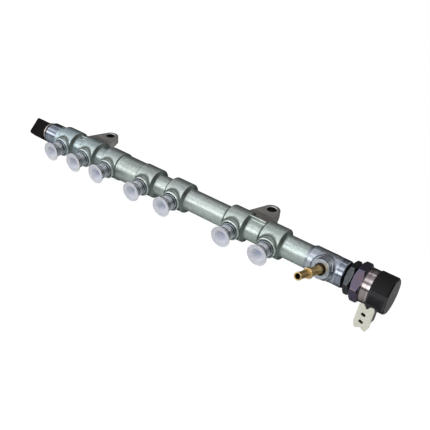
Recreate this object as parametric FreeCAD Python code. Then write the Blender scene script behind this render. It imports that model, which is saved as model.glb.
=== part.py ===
import FreeCAD, Part
import math
import os

# Fuel rail with threaded outlets, transit caps, a pressure sensor, a pressure control valve and a
# return nipple. Lengths are in millimetres. The rail axis runs along X while the shapes are built;
# the last step moves everything so that the origin is the middle of the two fixing holes on the
# seating face of the lugs.

# Outlets and lugs, placed along the rail from the middle between the fixing holes.
OUTLET_X = (-124.0, -92.5, -62.0, -17.0, 19.0, 84.0, 120.5)
JOINED_AFTER = 2            # the stretch after this outlet is nearly as thick as the bands
LUG_PITCH = 196.5           # distance between the two fixing holes
LUG_REACH = 28.0            # rail axis to fixing holes
SEAT_LEVEL = 0.0            # height of the lugs' seating face over the rail axis

# Forged tube and bands.
TUBE_R = 10.2
JOINED_R = 12.9
BAND_R = 13.9
BAND_HALF = 9.0
FLANK_SLOPE = 0.68          # flank length for each millimetre of height
FLANK_FOOT_R = 1.2
FLANK_TOP_R = 0.9
MAIN_BORE_R = 4.75

# Turned left end with the sensor socket.
LEFT_END = -152.8
LEFT_TURNED = 12.8          # length of the bright turned stretch
LEFT_END_R = 11.2
LEFT_STEP = 0.35
LEFT_STEP_RUN = 1.4
LEFT_BASE_R = 11.0
END_BREAK = 0.6
SENSOR_SOCKET_R = 8.0
SENSOR_SOCKET_DEPTH = 12.8

# Turned right end with the valve socket and the return chamber.
RIGHT_END = 187.0
RIGHT_TURNED = 10.7
RIGHT_END_R = 11.5
RIGHT_STEP_X = 153.5
RIGHT_STEP_RUN = 3.0
RIGHT_BASE_R = 11.7
VALVE_SOCKET_R = 9.0
VALVE_SOCKET_DEPTH = 10.0
CHAMBER_R = 7.5
CHAMBER_LENGTH = 11.0

# Outlet stubs; distances run outward from the rail axis.
COLLAR_R = 9.3
COLLAR_TOP = 18.5
COLLAR_BREAK = 0.7
FLARE_R = 10.4
FLARE_TOP = 15.9
FLARE_TOP_R = 0.8
FLARE_FOOT = 14.2
FLARE_FOOT_R = 0.5
SHOULDER_R = 7.9
SHOULDER_TOP = 19.7
SHOULDER_BREAK = 0.4
RELIEF_R = 6.1
RELIEF_TOP = 20.5
RELIEF_RAMP = 0.45          # length of the relief's cone up to the thread
THREAD_R = 7.0
STUB_TOP = 26.4
THREAD_BREAK = 0.8
SEAT_R = 5.1
SEAT_HALF_ANGLE = 30.0
THROTTLE_R = 1.25

# Transit caps.
CAP_FLANGE_R = 9.35
CAP_FLANGE = 2.2
CAP_RIM = 0.9
CAP_DISH = 0.35
CAP_PLUG = 5.2
CAP_FLOOR = 0.8
CAP_MOUTH_R = 5.2
CAP_FLOOR_R = 1.2
CAP_CLEARANCE = 0.08
CAP_EDGE_R = 0.35
CAP_TIP_EDGE_R = 0.4
CAP_MOUTH_EDGE_R = 0.6

# Lugs.
LUG_THICKNESS = 8.0
LUG_EYE_R = 7.8
LUG_HOLE_R = 4.3
LUG_ROOT_HALF = 15.0
LUG_ROOT_Y = 9.0
LUG_FOOT_HALF = 18.0
LUG_FOOT_Y = 4.0
LUG_CORNER_R = 4.0
LUG_EDGE_R = 0.9
LUG_HOLE_BREAK = 0.5
LUG_CORE_MARGIN = 2.0       # the block that joins a lug to the tube stays this far inside the foot

# Return port: a round pad on a slanted axis through the rail axis.
PORT_X = 171.1
PORT_RISE = 19.0            # degrees above the outlets' plane
PORT_LEAN = 4.0             # degrees toward the left end
PAD_R = 8.2
PAD_TOP = 16.0
PAD_BREAK = 0.4
PAD_FLARE_R = 10.6
PAD_FLARE_TOP = 14.4
PAD_FLARE_TOP_R = 1.2
PAD_FLARE_FOOT = 8.0
PAD_FLARE_FOOT_R = 0.6
PORT_RECESS_R = 4.3
PORT_RECESS = 2.2
PORT_THREAD_R = 3.5

# Return fitting; distances run outward from the rail axis along the port axis.
FITTING_TAIL = 8.2
FITTING_SHOULDER_R = 4.1
FITTING_SHOULDER = 0.6
FITTING_STEM_R = 3.4
FITTING_WAIST_R = 3.0
FITTING_WAIST_AT = 26.0
FITTING_WAIST_RUN = 2.0
FITTING_WAIST_BEND_R = 0.6
FITTING_HEX_AT = 33.0
FITTING_HEX = 4.2
FITTING_HEX_CORNER_R = 4.8
FITTING_TUBE_R = 2.8
FITTING_RIM_R = 3.25
FITTING_RIM = 2.4
FITTING_RIM_RAMP = 0.7
FITTING_RIM_BEND_R = 0.2
FITTING_MOUTH_EDGE_R = 0.5
FITTING_TAIL_EDGE_R = 0.4
FITTING_TOP = 52.0
FITTING_BORE_R = 2.1
FITTING_JET_R = 1.2
FITTING_BORE_DEPTH = 24.0
WASHER = 0.7

# Threads and seals.
THREAD_CLEARANCE = 0.06
FIT_CLEARANCE = 0.03

# How far cutting tools stick out past the face that they enter.
OVERCUT = 1.0

# Pressure sensor; distances run outward from the left end face.
SENSOR_GAP = 2.3
SENSOR_NECK_R = 7.6
SENSOR_SEAL_R = 9.0
SENSOR_RING_R = 9.5
SENSOR_RING = 2.5
SENSOR_RING_BREAK = 0.45
SENSOR_CAVITY_R = 7.2
SENSOR_CAVITY = 1.6
SENSOR_PORT_R = 1.6
SENSOR_NOSE_R = 4.6
SENSOR_NOSE = 1.6
DIAPHRAGM_R = 4.2
DIAPHRAGM = 0.5
PLUG_BASE_R = 8.9
PLUG_BASE = 2.0
PLUG_WIDTH = 18.0
PLUG_THICKNESS = 11.0
PLUG_CORNER_R = 1.5
PLUG_TOP = 25.1
PLUG_OFFSET = 1.3           # toward the lower front corner
PLUG_TURN = 45.0            # degrees the wide side is turned about the rail axis
PLUG_WALL = 1.4
PLUG_SOCKET = 13.0
PLUG_LATCH_WIDTH = 5.0
PLUG_LATCH_HEIGHT = 1.4
PLUG_LATCH = 5.5
PLUG_LATCH_AT = 2.0         # from the plug's open end
SENSOR_PIN_R = 0.6
SENSOR_PIN_PITCH = 3.8
SENSOR_PIN_COUNT = 3
SENSOR_PIN_FREE = 9.0
SENSOR_PIN_ROOT = 2.6
SENSOR_PIN_TIP = 0.35

# Valve; distances run outward from the right end face.
VALVE_SEAL = 2.7
VALVE_SEAL_R = 10.9
LOCK_NUT = 4.7
LOCK_NUT_CORNER_R = 14.4
SPACER = 1.6
SPACER_R = 12.3
HEX_NUT = 7.0
HEX_NUT_CORNER_R = 16.8
HEX_TURN = -7.0             # degrees the hexagons are turned about the rail axis
NUT_FACE_BREAK = 0.4        # how far inside the flats the nuts' end faces stop
NUT_CHAMFER_ANGLE = 30.0
YOKE_STEP = 0.85
YOKE_STEP_R = 12.8
YOKE_R = 14.5
YOKE = 7.1
YOKE_BREAK = 0.35
YOKE_FLOOR = 1.8
YOKE_CAVITY_R = 13.2
HEAD_R = 15.4
HEAD = 14.7
HEAD_EDGE_R = 1.1
HEAD_SEAM_R = 0.3
HEAD_CAVITY_R = 12.6
HEAD_CAVITY = 9.0
CARTRIDGE_THREAD_R = 9.0
CARTRIDGE_NOSE_R = 5.9
CARTRIDGE_SEAT_R = 0.9
CARTRIDGE_STEM_R = 7.0
CARTRIDGE_CHAMBER_R = 5.0
CARTRIDGE_CHAMBER = 17.0
CARTRIDGE_CROSS_R = 1.2
CARTRIDGE_CROSS_AT = 4.0    # from the seat
CARTRIDGE_SHOULDER = 1.2
CARTRIDGE_NOSE_EDGE_R = 0.4
SEAT_SETBACK = 3.0          # seat behind the cartridge's nose
SEAT_CONE = 1.0
BALL_R = 1.5
BALL_ROOM = 1.0
ARMATURE_R = 4.9
ARMATURE = 8.0
ARMATURE_PIN_R = 1.2
ARMATURE_STROKE = 0.6
SPRING_R = 2.6
SPRING_WIRE_R = 0.4
SPRING_TURNS = 5
SPRING_POCKET = 4.0
SPRING_POCKET_R = 3.3
POLE = 8.0
COIL_R = 12.3

# Valve connector, on a plane that faces the outlets' side and slightly up.
SHOE_X = 216.0
SHOE_RISE = 15.0            # degrees
SHOE_FRONT = 23.3           # rail axis to the front of the moulded shoe
SHOE_BACK = 8.0
SHOE_HALF = 6.0
SHOE_TOP = -6.3
SHOE_BOTTOM = -17.6
SHOE_CORNER_R = 1.0
SHOE_WALL = 1.2
SHOE_SOCKET = 5.0
TONGUE_HALF = 4.0           # narrow lower part of the shoe, behind the cover
TONGUE_BACK = 16.6
TONGUE_BOTTOM = -22.6
NECK_START = -4.6           # from the shoe's middle, along the rail
NECK_END = 9.2
NECK_OUTLINE = (            # (up, outward, corner radius)
    (4.0, 8.0, 0), (4.0, 14.9, 1.2), (1.0, 16.8, 1.2), (-8.0, 16.8, 1.0), (-8.0, 8.0, 0),
)
COVER = 1.4
COVER_HALF_OUTLINE = (
    (0.0, -8.0), (2.5, -5.0), (5.0, -4.8), (6.2, -6.6), (6.2, -20.6), (4.6, -24.6), (2.8, -24.6), (0.0, -22.9),
)
COVER_CORNER_R = 0.5
SLOT_CENTRES = ((-0.7, -12.8), (-0.7, -18.7))
SLOT_LENGTH = 4.0
SLOT_WIDTH = 1.5
SLOT_TURN = -17.0
SLOT_ROUNDING = 0.45        # corner radius as a share of the width
BLADE_LENGTH = 2.6
BLADE_WIDTH = 0.8
BLADE_FREE = 5.0
BLADE_ROOT = 2.0

V = FreeCAD.Vector
ORIGIN = V(0, 0, 0)
ALONG = V(1, 0, 0)
UP = V(0, 0, 1)


def rounded_wire(points):
    """Closed wire in the XY plane through (x, y, corner radius) points."""
    corners = [V(x, y, 0) for x, y, _ in points]
    radii = [r for _, _, r in points]
    count = len(corners)
    starts, ends, middles = [], [], []
    for i in range(count):
        here, before, after = corners[i], corners[i - 1], corners[(i + 1) % count]
        if radii[i] <= 0:
            starts.append(here)
            ends.append(here)
            middles.append(None)
            continue
        back = (before - here).normalize()
        ahead = (after - here).normalize()
        half = back.getAngle(ahead) / 2
        run = radii[i] / math.tan(half)
        axis = (back + ahead).normalize()
        centre = here + axis * (radii[i] / math.sin(half))
        starts.append(here + back * run)
        ends.append(here + ahead * run)
        middles.append(centre - axis * radii[i])
    edges = []
    for i in range(count):
        if middles[i] is not None:
            edges.append(Part.Arc(starts[i], middles[i], ends[i]).toShape())
        following = starts[(i + 1) % count]
        if ends[i].distanceToPoint(following) > 1e-6:
            edges.append(Part.makeLine(ends[i], following))
    return Part.Wire(edges)


def turned(points):
    """Solid of revolution about X from (x, radius, corner radius) points."""
    return Part.Face(rounded_wire(points)).revolve(ORIGIN, ALONG, 360)


def sharp(points):
    """The same points with no corner rounding."""
    return [(x, y, 0) for x, y in points]


def rod(x0, x1, radius):
    return Part.makeCylinder(radius, x1 - x0, V(x0, 0, 0), ALONG)


def ring(x0, x1, outer, inner):
    return rod(x0, x1, outer).cut(rod(x0, x1, inner))


def aimed(shape, base, direction):
    """Moves a shape built along X so that it starts at base and runs along direction."""
    placed = shape.copy()
    placed.Placement = FreeCAD.Placement(base, FreeCAD.Rotation(ALONG, direction))
    return placed


def prism(points, height):
    """Solid from rounded (x, y, corner radius) points, standing on the XY plane."""
    return Part.Face(rounded_wire(points)).extrude(V(0, 0, height))


def rounded_box(half_x, y0, y1, z0, z1, radius):
    outline = [(-half_x, y0, radius), (half_x, y0, radius), (half_x, y1, radius), (-half_x, y1, radius)]
    return prism(outline, z1 - z0).translate(V(0, 0, z0))


def slot(centre, length, width, turn, z0, z1):
    """Round-ended or nearly square-ended bar across Z, turned in its own plane."""
    body = rounded_box(length / 2, -width / 2, width / 2, z0, z1, width * SLOT_ROUNDING)
    body.rotate(ORIGIN, UP, turn)
    return body.translate(V(centre[0], centre[1], 0))


def hexagon(x0, x1, corner_r, turn):
    """Hexagonal bar along X with turned chamfers on both faces."""
    corners = []
    for k in range(7):
        angle = math.radians(60 * k + turn)
        corners.append(V(x0, corner_r * math.cos(angle), corner_r * math.sin(angle)))
    bar = Part.Face(Part.makePolygon(corners)).extrude(V(x1 - x0, 0, 0))
    inner = corner_r * math.cos(math.radians(30)) - NUT_FACE_BREAK
    run = (corner_r - inner) * math.tan(math.radians(NUT_CHAMFER_ANGLE))
    envelope = turned(sharp((
        (x0, 0), (x0, inner), (x0 + run, corner_r), (x1 - run, corner_r), (x1, inner), (x1, 0))))
    return bar.common(envelope)


def single(shape):
    """The shape's one solid, with split faces joined."""
    solids = shape.removeSplitter().Solids
    if len(solids) != 1:
        raise ValueError("expected one solid, found %d" % len(solids))
    return solids[0]


PORT_DIRECTION = V(
    -math.sin(math.radians(PORT_LEAN)),
    -math.cos(math.radians(PORT_LEAN)) * math.cos(math.radians(PORT_RISE)),
    math.cos(math.radians(PORT_LEAN)) * math.sin(math.radians(PORT_RISE)))
PORT_BASE = V(PORT_X, 0, 0)
OUTWARD = V(0, -1, 0)
SHOE_PLACE = FreeCAD.Placement(
    V(SHOE_X, 0, 0),
    FreeCAD.Rotation(
        ALONG,
        V(0, math.sin(math.radians(SHOE_RISE)), math.cos(math.radians(SHOE_RISE))),
        V(0, -math.cos(math.radians(SHOE_RISE)), math.sin(math.radians(SHOE_RISE))),
        "ZXY"))

VALVE_SOCKET_END = RIGHT_END - VALVE_SOCKET_DEPTH
CHAMBER_END = VALVE_SOCKET_END - CHAMBER_LENGTH
SEAT_X = CHAMBER_END + SEAT_SETBACK
SEAL_END = RIGHT_END + VALVE_SEAL
LOCK_END = SEAL_END + LOCK_NUT
SPACER_END = LOCK_END + SPACER
NUT_END = SPACER_END + HEX_NUT
YOKE_START = NUT_END + YOKE_STEP
YOKE_END = YOKE_START + YOKE
HEAD_END = YOKE_END + HEAD
COIL_START = YOKE_START + YOKE_FLOOR
COIL_END = YOKE_END + HEAD_CAVITY
CHAMBER_FLOOR = COIL_END - CARTRIDGE_CHAMBER
PLUG_START = LEFT_END - SENSOR_GAP - SENSOR_RING
PLUG_END = LEFT_END - PLUG_TOP


def rail_outline():
    """Outer profile of the tube, its bands and both turned ends."""
    left_turned = LEFT_END + LEFT_TURNED
    points = [
        (LEFT_END, 0, 0),
        (LEFT_END, LEFT_END_R, END_BREAK),
        (left_turned, LEFT_END_R, 0),
        (left_turned, LEFT_END_R - LEFT_STEP, 0),
        (left_turned + LEFT_STEP_RUN, LEFT_BASE_R, 0),
    ]
    before = LEFT_BASE_R
    for index, x in enumerate(OUTLET_X):
        after = JOINED_R if index == JOINED_AFTER else TUBE_R
        for side, radius in ((-1, before), (1, after)):
            rise = BAND_R - radius
            flank = FLANK_SLOPE * rise
            foot = min(FLANK_FOOT_R, rise * 0.35)
            top = min(FLANK_TOP_R, rise * 0.35)
            corner = (x + side * (BAND_HALF + flank), radius, foot)
            crest = (x + side * BAND_HALF, BAND_R, top)
            points += [corner, crest] if side < 0 else [crest, corner]
        before = after
    points += [
        (RIGHT_STEP_X, TUBE_R, FLANK_FOOT_R),
        (RIGHT_STEP_X + RIGHT_STEP_RUN, RIGHT_BASE_R, FLANK_FOOT_R),
        (RIGHT_END - RIGHT_TURNED, RIGHT_BASE_R, 0),
        (RIGHT_END - RIGHT_TURNED, RIGHT_END_R, 0),
        (RIGHT_END, RIGHT_END_R, END_BREAK),
        (RIGHT_END, 0, 0),
    ]
    return points


def outlet_stub():
    """Collared stub along X, with the blank of its thread and the relief under it."""
    return turned([
        (0, 0, 0),
        (0, FLARE_R, 0),
        (FLARE_FOOT, FLARE_R, FLARE_FOOT_R),
        (FLARE_TOP, COLLAR_R, FLARE_TOP_R),
        (COLLAR_TOP - COLLAR_BREAK, COLLAR_R, 0),
        (COLLAR_TOP, COLLAR_R - COLLAR_BREAK, 0),
        (COLLAR_TOP, SHOULDER_R, 0),
        (SHOULDER_TOP - SHOULDER_BREAK, SHOULDER_R, 0),
        (SHOULDER_TOP, SHOULDER_R - SHOULDER_BREAK, 0),
        (SHOULDER_TOP, RELIEF_R, 0),
        (RELIEF_TOP - RELIEF_RAMP, RELIEF_R, 0),
        (RELIEF_TOP, THREAD_R, 0),
        (STUB_TOP - THREAD_BREAK, THREAD_R, 0),
        (STUB_TOP, THREAD_R - THREAD_BREAK, 0),
        (STUB_TOP, 0, 0),
    ])


def outlet_bore():
    """Cone seat and throttle bore along X."""
    depth = (SEAT_R - THROTTLE_R) / math.tan(math.radians(SEAT_HALF_ANGLE))
    return turned(sharp((
        (0, 0), (0, THROTTLE_R), (STUB_TOP - depth, THROTTLE_R), (STUB_TOP, SEAT_R), (STUB_TOP, 0))))


def lug(x):
    """Flat lug toward +Y with a round eye, flanks tangent to the eye and a flared foot."""
    reach = math.hypot(LUG_ROOT_HALF, LUG_REACH - LUG_ROOT_Y)
    tangent = math.asin(LUG_EYE_R / reach)
    slope = math.atan2(LUG_REACH - LUG_ROOT_Y, LUG_ROOT_HALF)
    lean = slope + tangent
    touch = V(math.sin(lean) * LUG_EYE_R, math.cos(lean) * LUG_EYE_R, 0)
    eye = V(0, LUG_REACH, 0)
    right = [V(LUG_FOOT_HALF, LUG_FOOT_Y, 0), V(LUG_ROOT_HALF, LUG_ROOT_Y, 0)]
    blank = rounded_wire([
        (-right[0].x, right[0].y, 0),
        (right[0].x, right[0].y, 0),
        (right[1].x, right[1].y, LUG_CORNER_R),
        (touch.x, eye.y + touch.y, 0),
        (-touch.x, eye.y + touch.y, 0),
        (-right[1].x, right[1].y, LUG_CORNER_R),
    ])
    plate = Part.Face(blank).extrude(V(0, 0, LUG_THICKNESS))
    plate = plate.fuse(Part.makeCylinder(LUG_EYE_R, LUG_THICKNESS, eye)).removeSplitter()
    rims = []
    for edge in plate.Edges:
        box = edge.BoundBox
        level = box.ZMax - box.ZMin < 1e-6
        if level and box.YMax > LUG_FOOT_Y + 0.1:
            rims.append(edge)
    plate = plate.makeFillet(LUG_EDGE_R, rims)
    half = LUG_FOOT_HALF - LUG_CORE_MARGIN
    inside = Part.makeBox(
        2 * half, LUG_FOOT_Y + 2 * LUG_EDGE_R, LUG_THICKNESS - LUG_EDGE_R, V(-half, 0, LUG_EDGE_R / 2))
    return plate.fuse(inside).translate(V(x, 0, SEAT_LEVEL))


def lug_hole(x):
    """Through hole along Z with broken edges, built along X and stood up."""
    top = LUG_THICKNESS
    wide = LUG_HOLE_R + LUG_HOLE_BREAK + OVERCUT
    tool = turned(sharp((
        (-OVERCUT, 0), (-OVERCUT, wide), (LUG_HOLE_BREAK, LUG_HOLE_R),
        (top - LUG_HOLE_BREAK, LUG_HOLE_R), (top + OVERCUT, wide), (top + OVERCUT, 0))))
    return aimed(tool, V(x, LUG_REACH, SEAT_LEVEL), UP)


def return_pad():
    return turned([
        (0, 0, 0),
        (0, PAD_FLARE_R, 0),
        (PAD_FLARE_FOOT, PAD_FLARE_R, PAD_FLARE_FOOT_R),
        (PAD_FLARE_TOP, PAD_R, PAD_FLARE_TOP_R),
        (PAD_TOP - PAD_BREAK, PAD_R, 0),
        (PAD_TOP, PAD_R - PAD_BREAK, 0),
        (PAD_TOP, 0, 0),
    ])


def rail_body():
    """The forging: outside first, then every bore in one cut."""
    lug_x = (-LUG_PITCH / 2, LUG_PITCH / 2)
    outside = [aimed(outlet_stub(), V(x, 0, 0), OUTWARD) for x in OUTLET_X]
    outside += [lug(x) for x in lug_x]
    outside.append(aimed(return_pad(), PORT_BASE, PORT_DIRECTION))
    body = turned(rail_outline()).fuse(outside)

    bore_start = LEFT_END + SENSOR_SOCKET_DEPTH
    tools = [
        rod(bore_start - OVERCUT, CHAMBER_END + OVERCUT, MAIN_BORE_R),
        turned(sharp((
            (LEFT_END - OVERCUT, 0), (LEFT_END - OVERCUT, SENSOR_SOCKET_R + END_BREAK + OVERCUT),
            (LEFT_END + END_BREAK, SENSOR_SOCKET_R), (bore_start, SENSOR_SOCKET_R),
            (bore_start, 0)))),
        rod(CHAMBER_END, VALVE_SOCKET_END + OVERCUT, CHAMBER_R),
        turned(sharp((
            (VALVE_SOCKET_END, 0), (VALVE_SOCKET_END, VALVE_SOCKET_R),
            (RIGHT_END - END_BREAK, VALVE_SOCKET_R),
            (RIGHT_END + OVERCUT, VALVE_SOCKET_R + END_BREAK + OVERCUT), (RIGHT_END + OVERCUT, 0)))),
        aimed(
            rod(0, PAD_TOP, PORT_THREAD_R).fuse(
                rod(PAD_TOP - PORT_RECESS, PAD_TOP + OVERCUT, PORT_RECESS_R)),
            PORT_BASE, PORT_DIRECTION),
    ]
    tools += [aimed(outlet_bore(), V(x, 0, 0), OUTWARD) for x in OUTLET_X]
    tools += [lug_hole(x) for x in lug_x]
    return single(body.cut(tools))


def port_cap():
    """Transit cap along X: a dished flange on the stub and a hollow cone in its seat."""
    taper = math.tan(math.radians(SEAT_HALF_ANGLE))
    tip = STUB_TOP - CAP_PLUG
    face = STUB_TOP + CAP_FLANGE
    dish = face - CAP_DISH
    root_r = SEAT_R - CAP_CLEARANCE
    return turned([
        (tip, 0, 0),
        (tip, root_r - CAP_PLUG * taper, CAP_TIP_EDGE_R),
        (STUB_TOP, root_r, 0),
        (STUB_TOP, CAP_FLANGE_R, CAP_EDGE_R),
        (face, CAP_FLANGE_R, CAP_EDGE_R),
        (face, CAP_FLANGE_R - CAP_RIM, 0),
        (dish, CAP_FLANGE_R - CAP_RIM - CAP_DISH, 0),
        (dish, CAP_MOUTH_R, CAP_MOUTH_EDGE_R),
        (tip + CAP_FLOOR, CAP_FLOOR_R, CAP_TIP_EDGE_R),
        (tip + CAP_FLOOR, 0, 0),
    ])


def sensor_body():
    """Threaded steel body of the sensor, with its pressure port and the cavity for the moulding."""
    nose_end = LEFT_END + SENSOR_SOCKET_DEPTH
    thread_r = SENSOR_SOCKET_R - THREAD_CLEARANCE
    ring_start = LEFT_END - SENSOR_GAP
    floor = PLUG_START + SENSOR_CAVITY
    return turned(sharp((
        (nose_end, SENSOR_PORT_R),
        (nose_end, SENSOR_NOSE_R),
        (nose_end - SENSOR_NOSE, thread_r),
        (LEFT_END + END_BREAK, thread_r),
        (LEFT_END, SENSOR_NECK_R),
        (ring_start, SENSOR_NECK_R),
        (ring_start, SENSOR_RING_R - SENSOR_RING_BREAK),
        (ring_start - SENSOR_RING_BREAK, SENSOR_RING_R),
        (PLUG_START + SENSOR_RING_BREAK, SENSOR_RING_R),
        (PLUG_START, SENSOR_RING_R - SENSOR_RING_BREAK),
        (PLUG_START, SENSOR_CAVITY_R),
        (floor, SENSOR_CAVITY_R),
        (floor, SENSOR_PORT_R))))


def sensor_diaphragm():
    floor = PLUG_START + SENSOR_CAVITY
    return rod(floor - DIAPHRAGM, floor, DIAPHRAGM_R)


def plug_bar(width, thickness, x0, x1, radius):
    """Rounded rectangular bar along X in the turned and shifted frame of the sensor's plug."""
    bar = rounded_box(thickness / 2, -width / 2, width / 2, 0, x1 - x0, radius)
    bar.rotate(ORIGIN, V(0, 1, 0), 90)
    bar.translate(V(x0, -PLUG_OFFSET, 0))
    bar.rotate(ORIGIN, ALONG, PLUG_TURN)
    return bar


def sensor_pin_places():
    middle = (SENSOR_PIN_COUNT - 1) / 2
    places = []
    for k in range(SENSOR_PIN_COUNT):
        point = V(0, (k - middle) * SENSOR_PIN_PITCH - PLUG_OFFSET, 0)
        places.append(FreeCAD.Rotation(ALONG, PLUG_TURN).multVec(point))
    return places


def sensor_pin(place):
    start = PLUG_END + PLUG_SOCKET - SENSOR_PIN_FREE
    end = PLUG_END + PLUG_SOCKET + SENSOR_PIN_ROOT
    pin = turned(sharp((
        (start, 0), (start, SENSOR_PIN_R - SENSOR_PIN_TIP), (start + SENSOR_PIN_TIP, SENSOR_PIN_R),
        (end, SENSOR_PIN_R), (end, 0))))
    return pin.translate(place)


def sensor_connector():
    """Moulded plug housing with an open socket, a latch ramp and bores for the pins."""
    spigot = PLUG_START + SENSOR_CAVITY
    body = rod(PLUG_START - PLUG_BASE, PLUG_START, PLUG_BASE_R)
    body = body.fuse([
        rod(PLUG_START - PLUG_BASE / 4, spigot, SENSOR_CAVITY_R - FIT_CLEARANCE),
        plug_bar(PLUG_WIDTH, PLUG_THICKNESS, PLUG_END, PLUG_START - PLUG_BASE / 2, PLUG_CORNER_R),
        latch_ramp(),
    ])
    tools = [
        plug_bar(PLUG_WIDTH - 2 * PLUG_WALL, PLUG_THICKNESS - 2 * PLUG_WALL,
                 PLUG_END - OVERCUT, PLUG_END + PLUG_SOCKET, PLUG_CORNER_R / 2),
        rod(spigot - DIAPHRAGM, spigot + OVERCUT, DIAPHRAGM_R + FIT_CLEARANCE),
    ]
    tools += [sensor_pin(place) for place in sensor_pin_places()]
    return single(body.cut(tools))


def latch_ramp():
    """Small wedge on the far wide side of the plug, for the mating plug's latch."""
    base = PLUG_THICKNESS / 2
    start = PLUG_END + PLUG_LATCH_AT
    root = base - PLUG_WALL / 2
    wedge = Part.Face(Part.makePolygon([
        V(start, 0, -root), V(start, 0, -base), V(start + PLUG_LATCH, 0, -base - PLUG_LATCH_HEIGHT),
        V(start + PLUG_LATCH, 0, -root), V(start, 0, -root)]))
    wedge = wedge.extrude(V(0, PLUG_LATCH_WIDTH, 0))
    wedge.translate(V(0, -PLUG_LATCH_WIDTH / 2 - PLUG_OFFSET, 0))
    wedge.rotate(ORIGIN, ALONG, PLUG_TURN)
    return wedge


def valve_cartridge():
    """Steel insert of the valve: seat nose, thread, stem and armature chamber."""
    thread_r = CARTRIDGE_THREAD_R - THREAD_CLEARANCE
    bore_r = BALL_R + BALL_ROOM
    body = turned([
        (CHAMBER_END, 0, 0),
        (CHAMBER_END, CARTRIDGE_NOSE_R, CARTRIDGE_NOSE_EDGE_R),
        (VALVE_SOCKET_END, CARTRIDGE_NOSE_R, 0),
        (VALVE_SOCKET_END + CARTRIDGE_SHOULDER, thread_r, 0),
        (NUT_END, thread_r, 0),
        (NUT_END, CARTRIDGE_STEM_R, 0),
        (COIL_END, CARTRIDGE_STEM_R, 0),
        (COIL_END, 0, 0),
    ])
    bores = [
        rod(CHAMBER_END - OVERCUT, SEAT_X + SEAT_CONE / 2, CARTRIDGE_SEAT_R),
        turned(sharp((
            (SEAT_X, 0), (SEAT_X, CARTRIDGE_SEAT_R), (SEAT_X + SEAT_CONE, bore_r),
            (CHAMBER_FLOOR + OVERCUT, bore_r), (CHAMBER_FLOOR + OVERCUT, 0)))),
        rod(CHAMBER_FLOOR, COIL_END + OVERCUT, CARTRIDGE_CHAMBER_R),
        Part.makeCylinder(
            CARTRIDGE_CROSS_R, 2 * CHAMBER_R, V(SEAT_X + CARTRIDGE_CROSS_AT, 0, -CHAMBER_R), UP),
    ]
    return single(body.cut(bores))


def ball_centre():
    """Where the ball touches the rim of the seat bore."""
    return SEAT_X + math.sqrt(BALL_R ** 2 - CARTRIDGE_SEAT_R ** 2)


def valve_ball():
    return Part.makeSphere(BALL_R, V(ball_centre(), 0, 0))


def armature_span():
    end = COIL_END - POLE - ARMATURE_STROKE
    return end - ARMATURE, end


def valve_armature():
    """Plunger with a push pin down to the ball and a pocket for the spring."""
    start, end = armature_span()
    body = rod(start, end, ARMATURE_R).fuse(rod(ball_centre() + BALL_R, start + OVERCUT, ARMATURE_PIN_R))
    return single(body.cut(rod(end - SPRING_POCKET, end + OVERCUT, SPRING_POCKET_R)))


def valve_spring():
    """Round-wire coil between the armature and the pole core."""
    end = armature_span()[1]
    low = end - SPRING_POCKET + SPRING_WIRE_R
    high = COIL_END - POLE + SPRING_POCKET - SPRING_WIRE_R
    pitch = (high - low) / SPRING_TURNS
    helix = Part.makeHelix(pitch, high - low, SPRING_R)
    section = Part.Wire(Part.makeCircle(SPRING_WIRE_R, V(SPRING_R, 0, 0), V(0, 1, 0)))
    coil = Part.Wire(helix.Edges).makePipeShell([section], True, True)
    coil.Placement = FreeCAD.Placement(V(low, 0, 0), FreeCAD.Rotation(UP, ALONG))
    return coil


def valve_pole():
    """Fixed core that closes the armature chamber."""
    start = COIL_END - POLE
    body = rod(start, COIL_END, CARTRIDGE_CHAMBER_R - FIT_CLEARANCE)
    return body.cut(rod(start - OVERCUT, start + SPRING_POCKET, SPRING_POCKET_R))


def valve_lock_nut():
    nut = hexagon(SEAL_END, LOCK_END, LOCK_NUT_CORNER_R, HEX_TURN)
    return single(nut.cut(rod(SEAL_END - OVERCUT, LOCK_END + OVERCUT, CARTRIDGE_THREAD_R)))


def valve_hex_nut():
    nut = hexagon(SPACER_END, NUT_END, HEX_NUT_CORNER_R, HEX_TURN)
    return single(nut.cut(rod(SPACER_END - OVERCUT, NUT_END + OVERCUT, CARTRIDGE_THREAD_R)))


def valve_yoke():
    """Polished steel cup round the coil."""
    return turned(sharp((
        (NUT_END, CARTRIDGE_STEM_R + FIT_CLEARANCE),
        (NUT_END, YOKE_STEP_R),
        (YOKE_START, YOKE_STEP_R),
        (YOKE_START, YOKE_R - YOKE_BREAK),
        (YOKE_START + YOKE_BREAK, YOKE_R),
        (YOKE_END - YOKE_BREAK, YOKE_R),
        (YOKE_END, YOKE_R - YOKE_BREAK),
        (YOKE_END, YOKE_CAVITY_R),
        (COIL_START, YOKE_CAVITY_R),
        (COIL_START, CARTRIDGE_STEM_R + FIT_CLEARANCE))))


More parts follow.
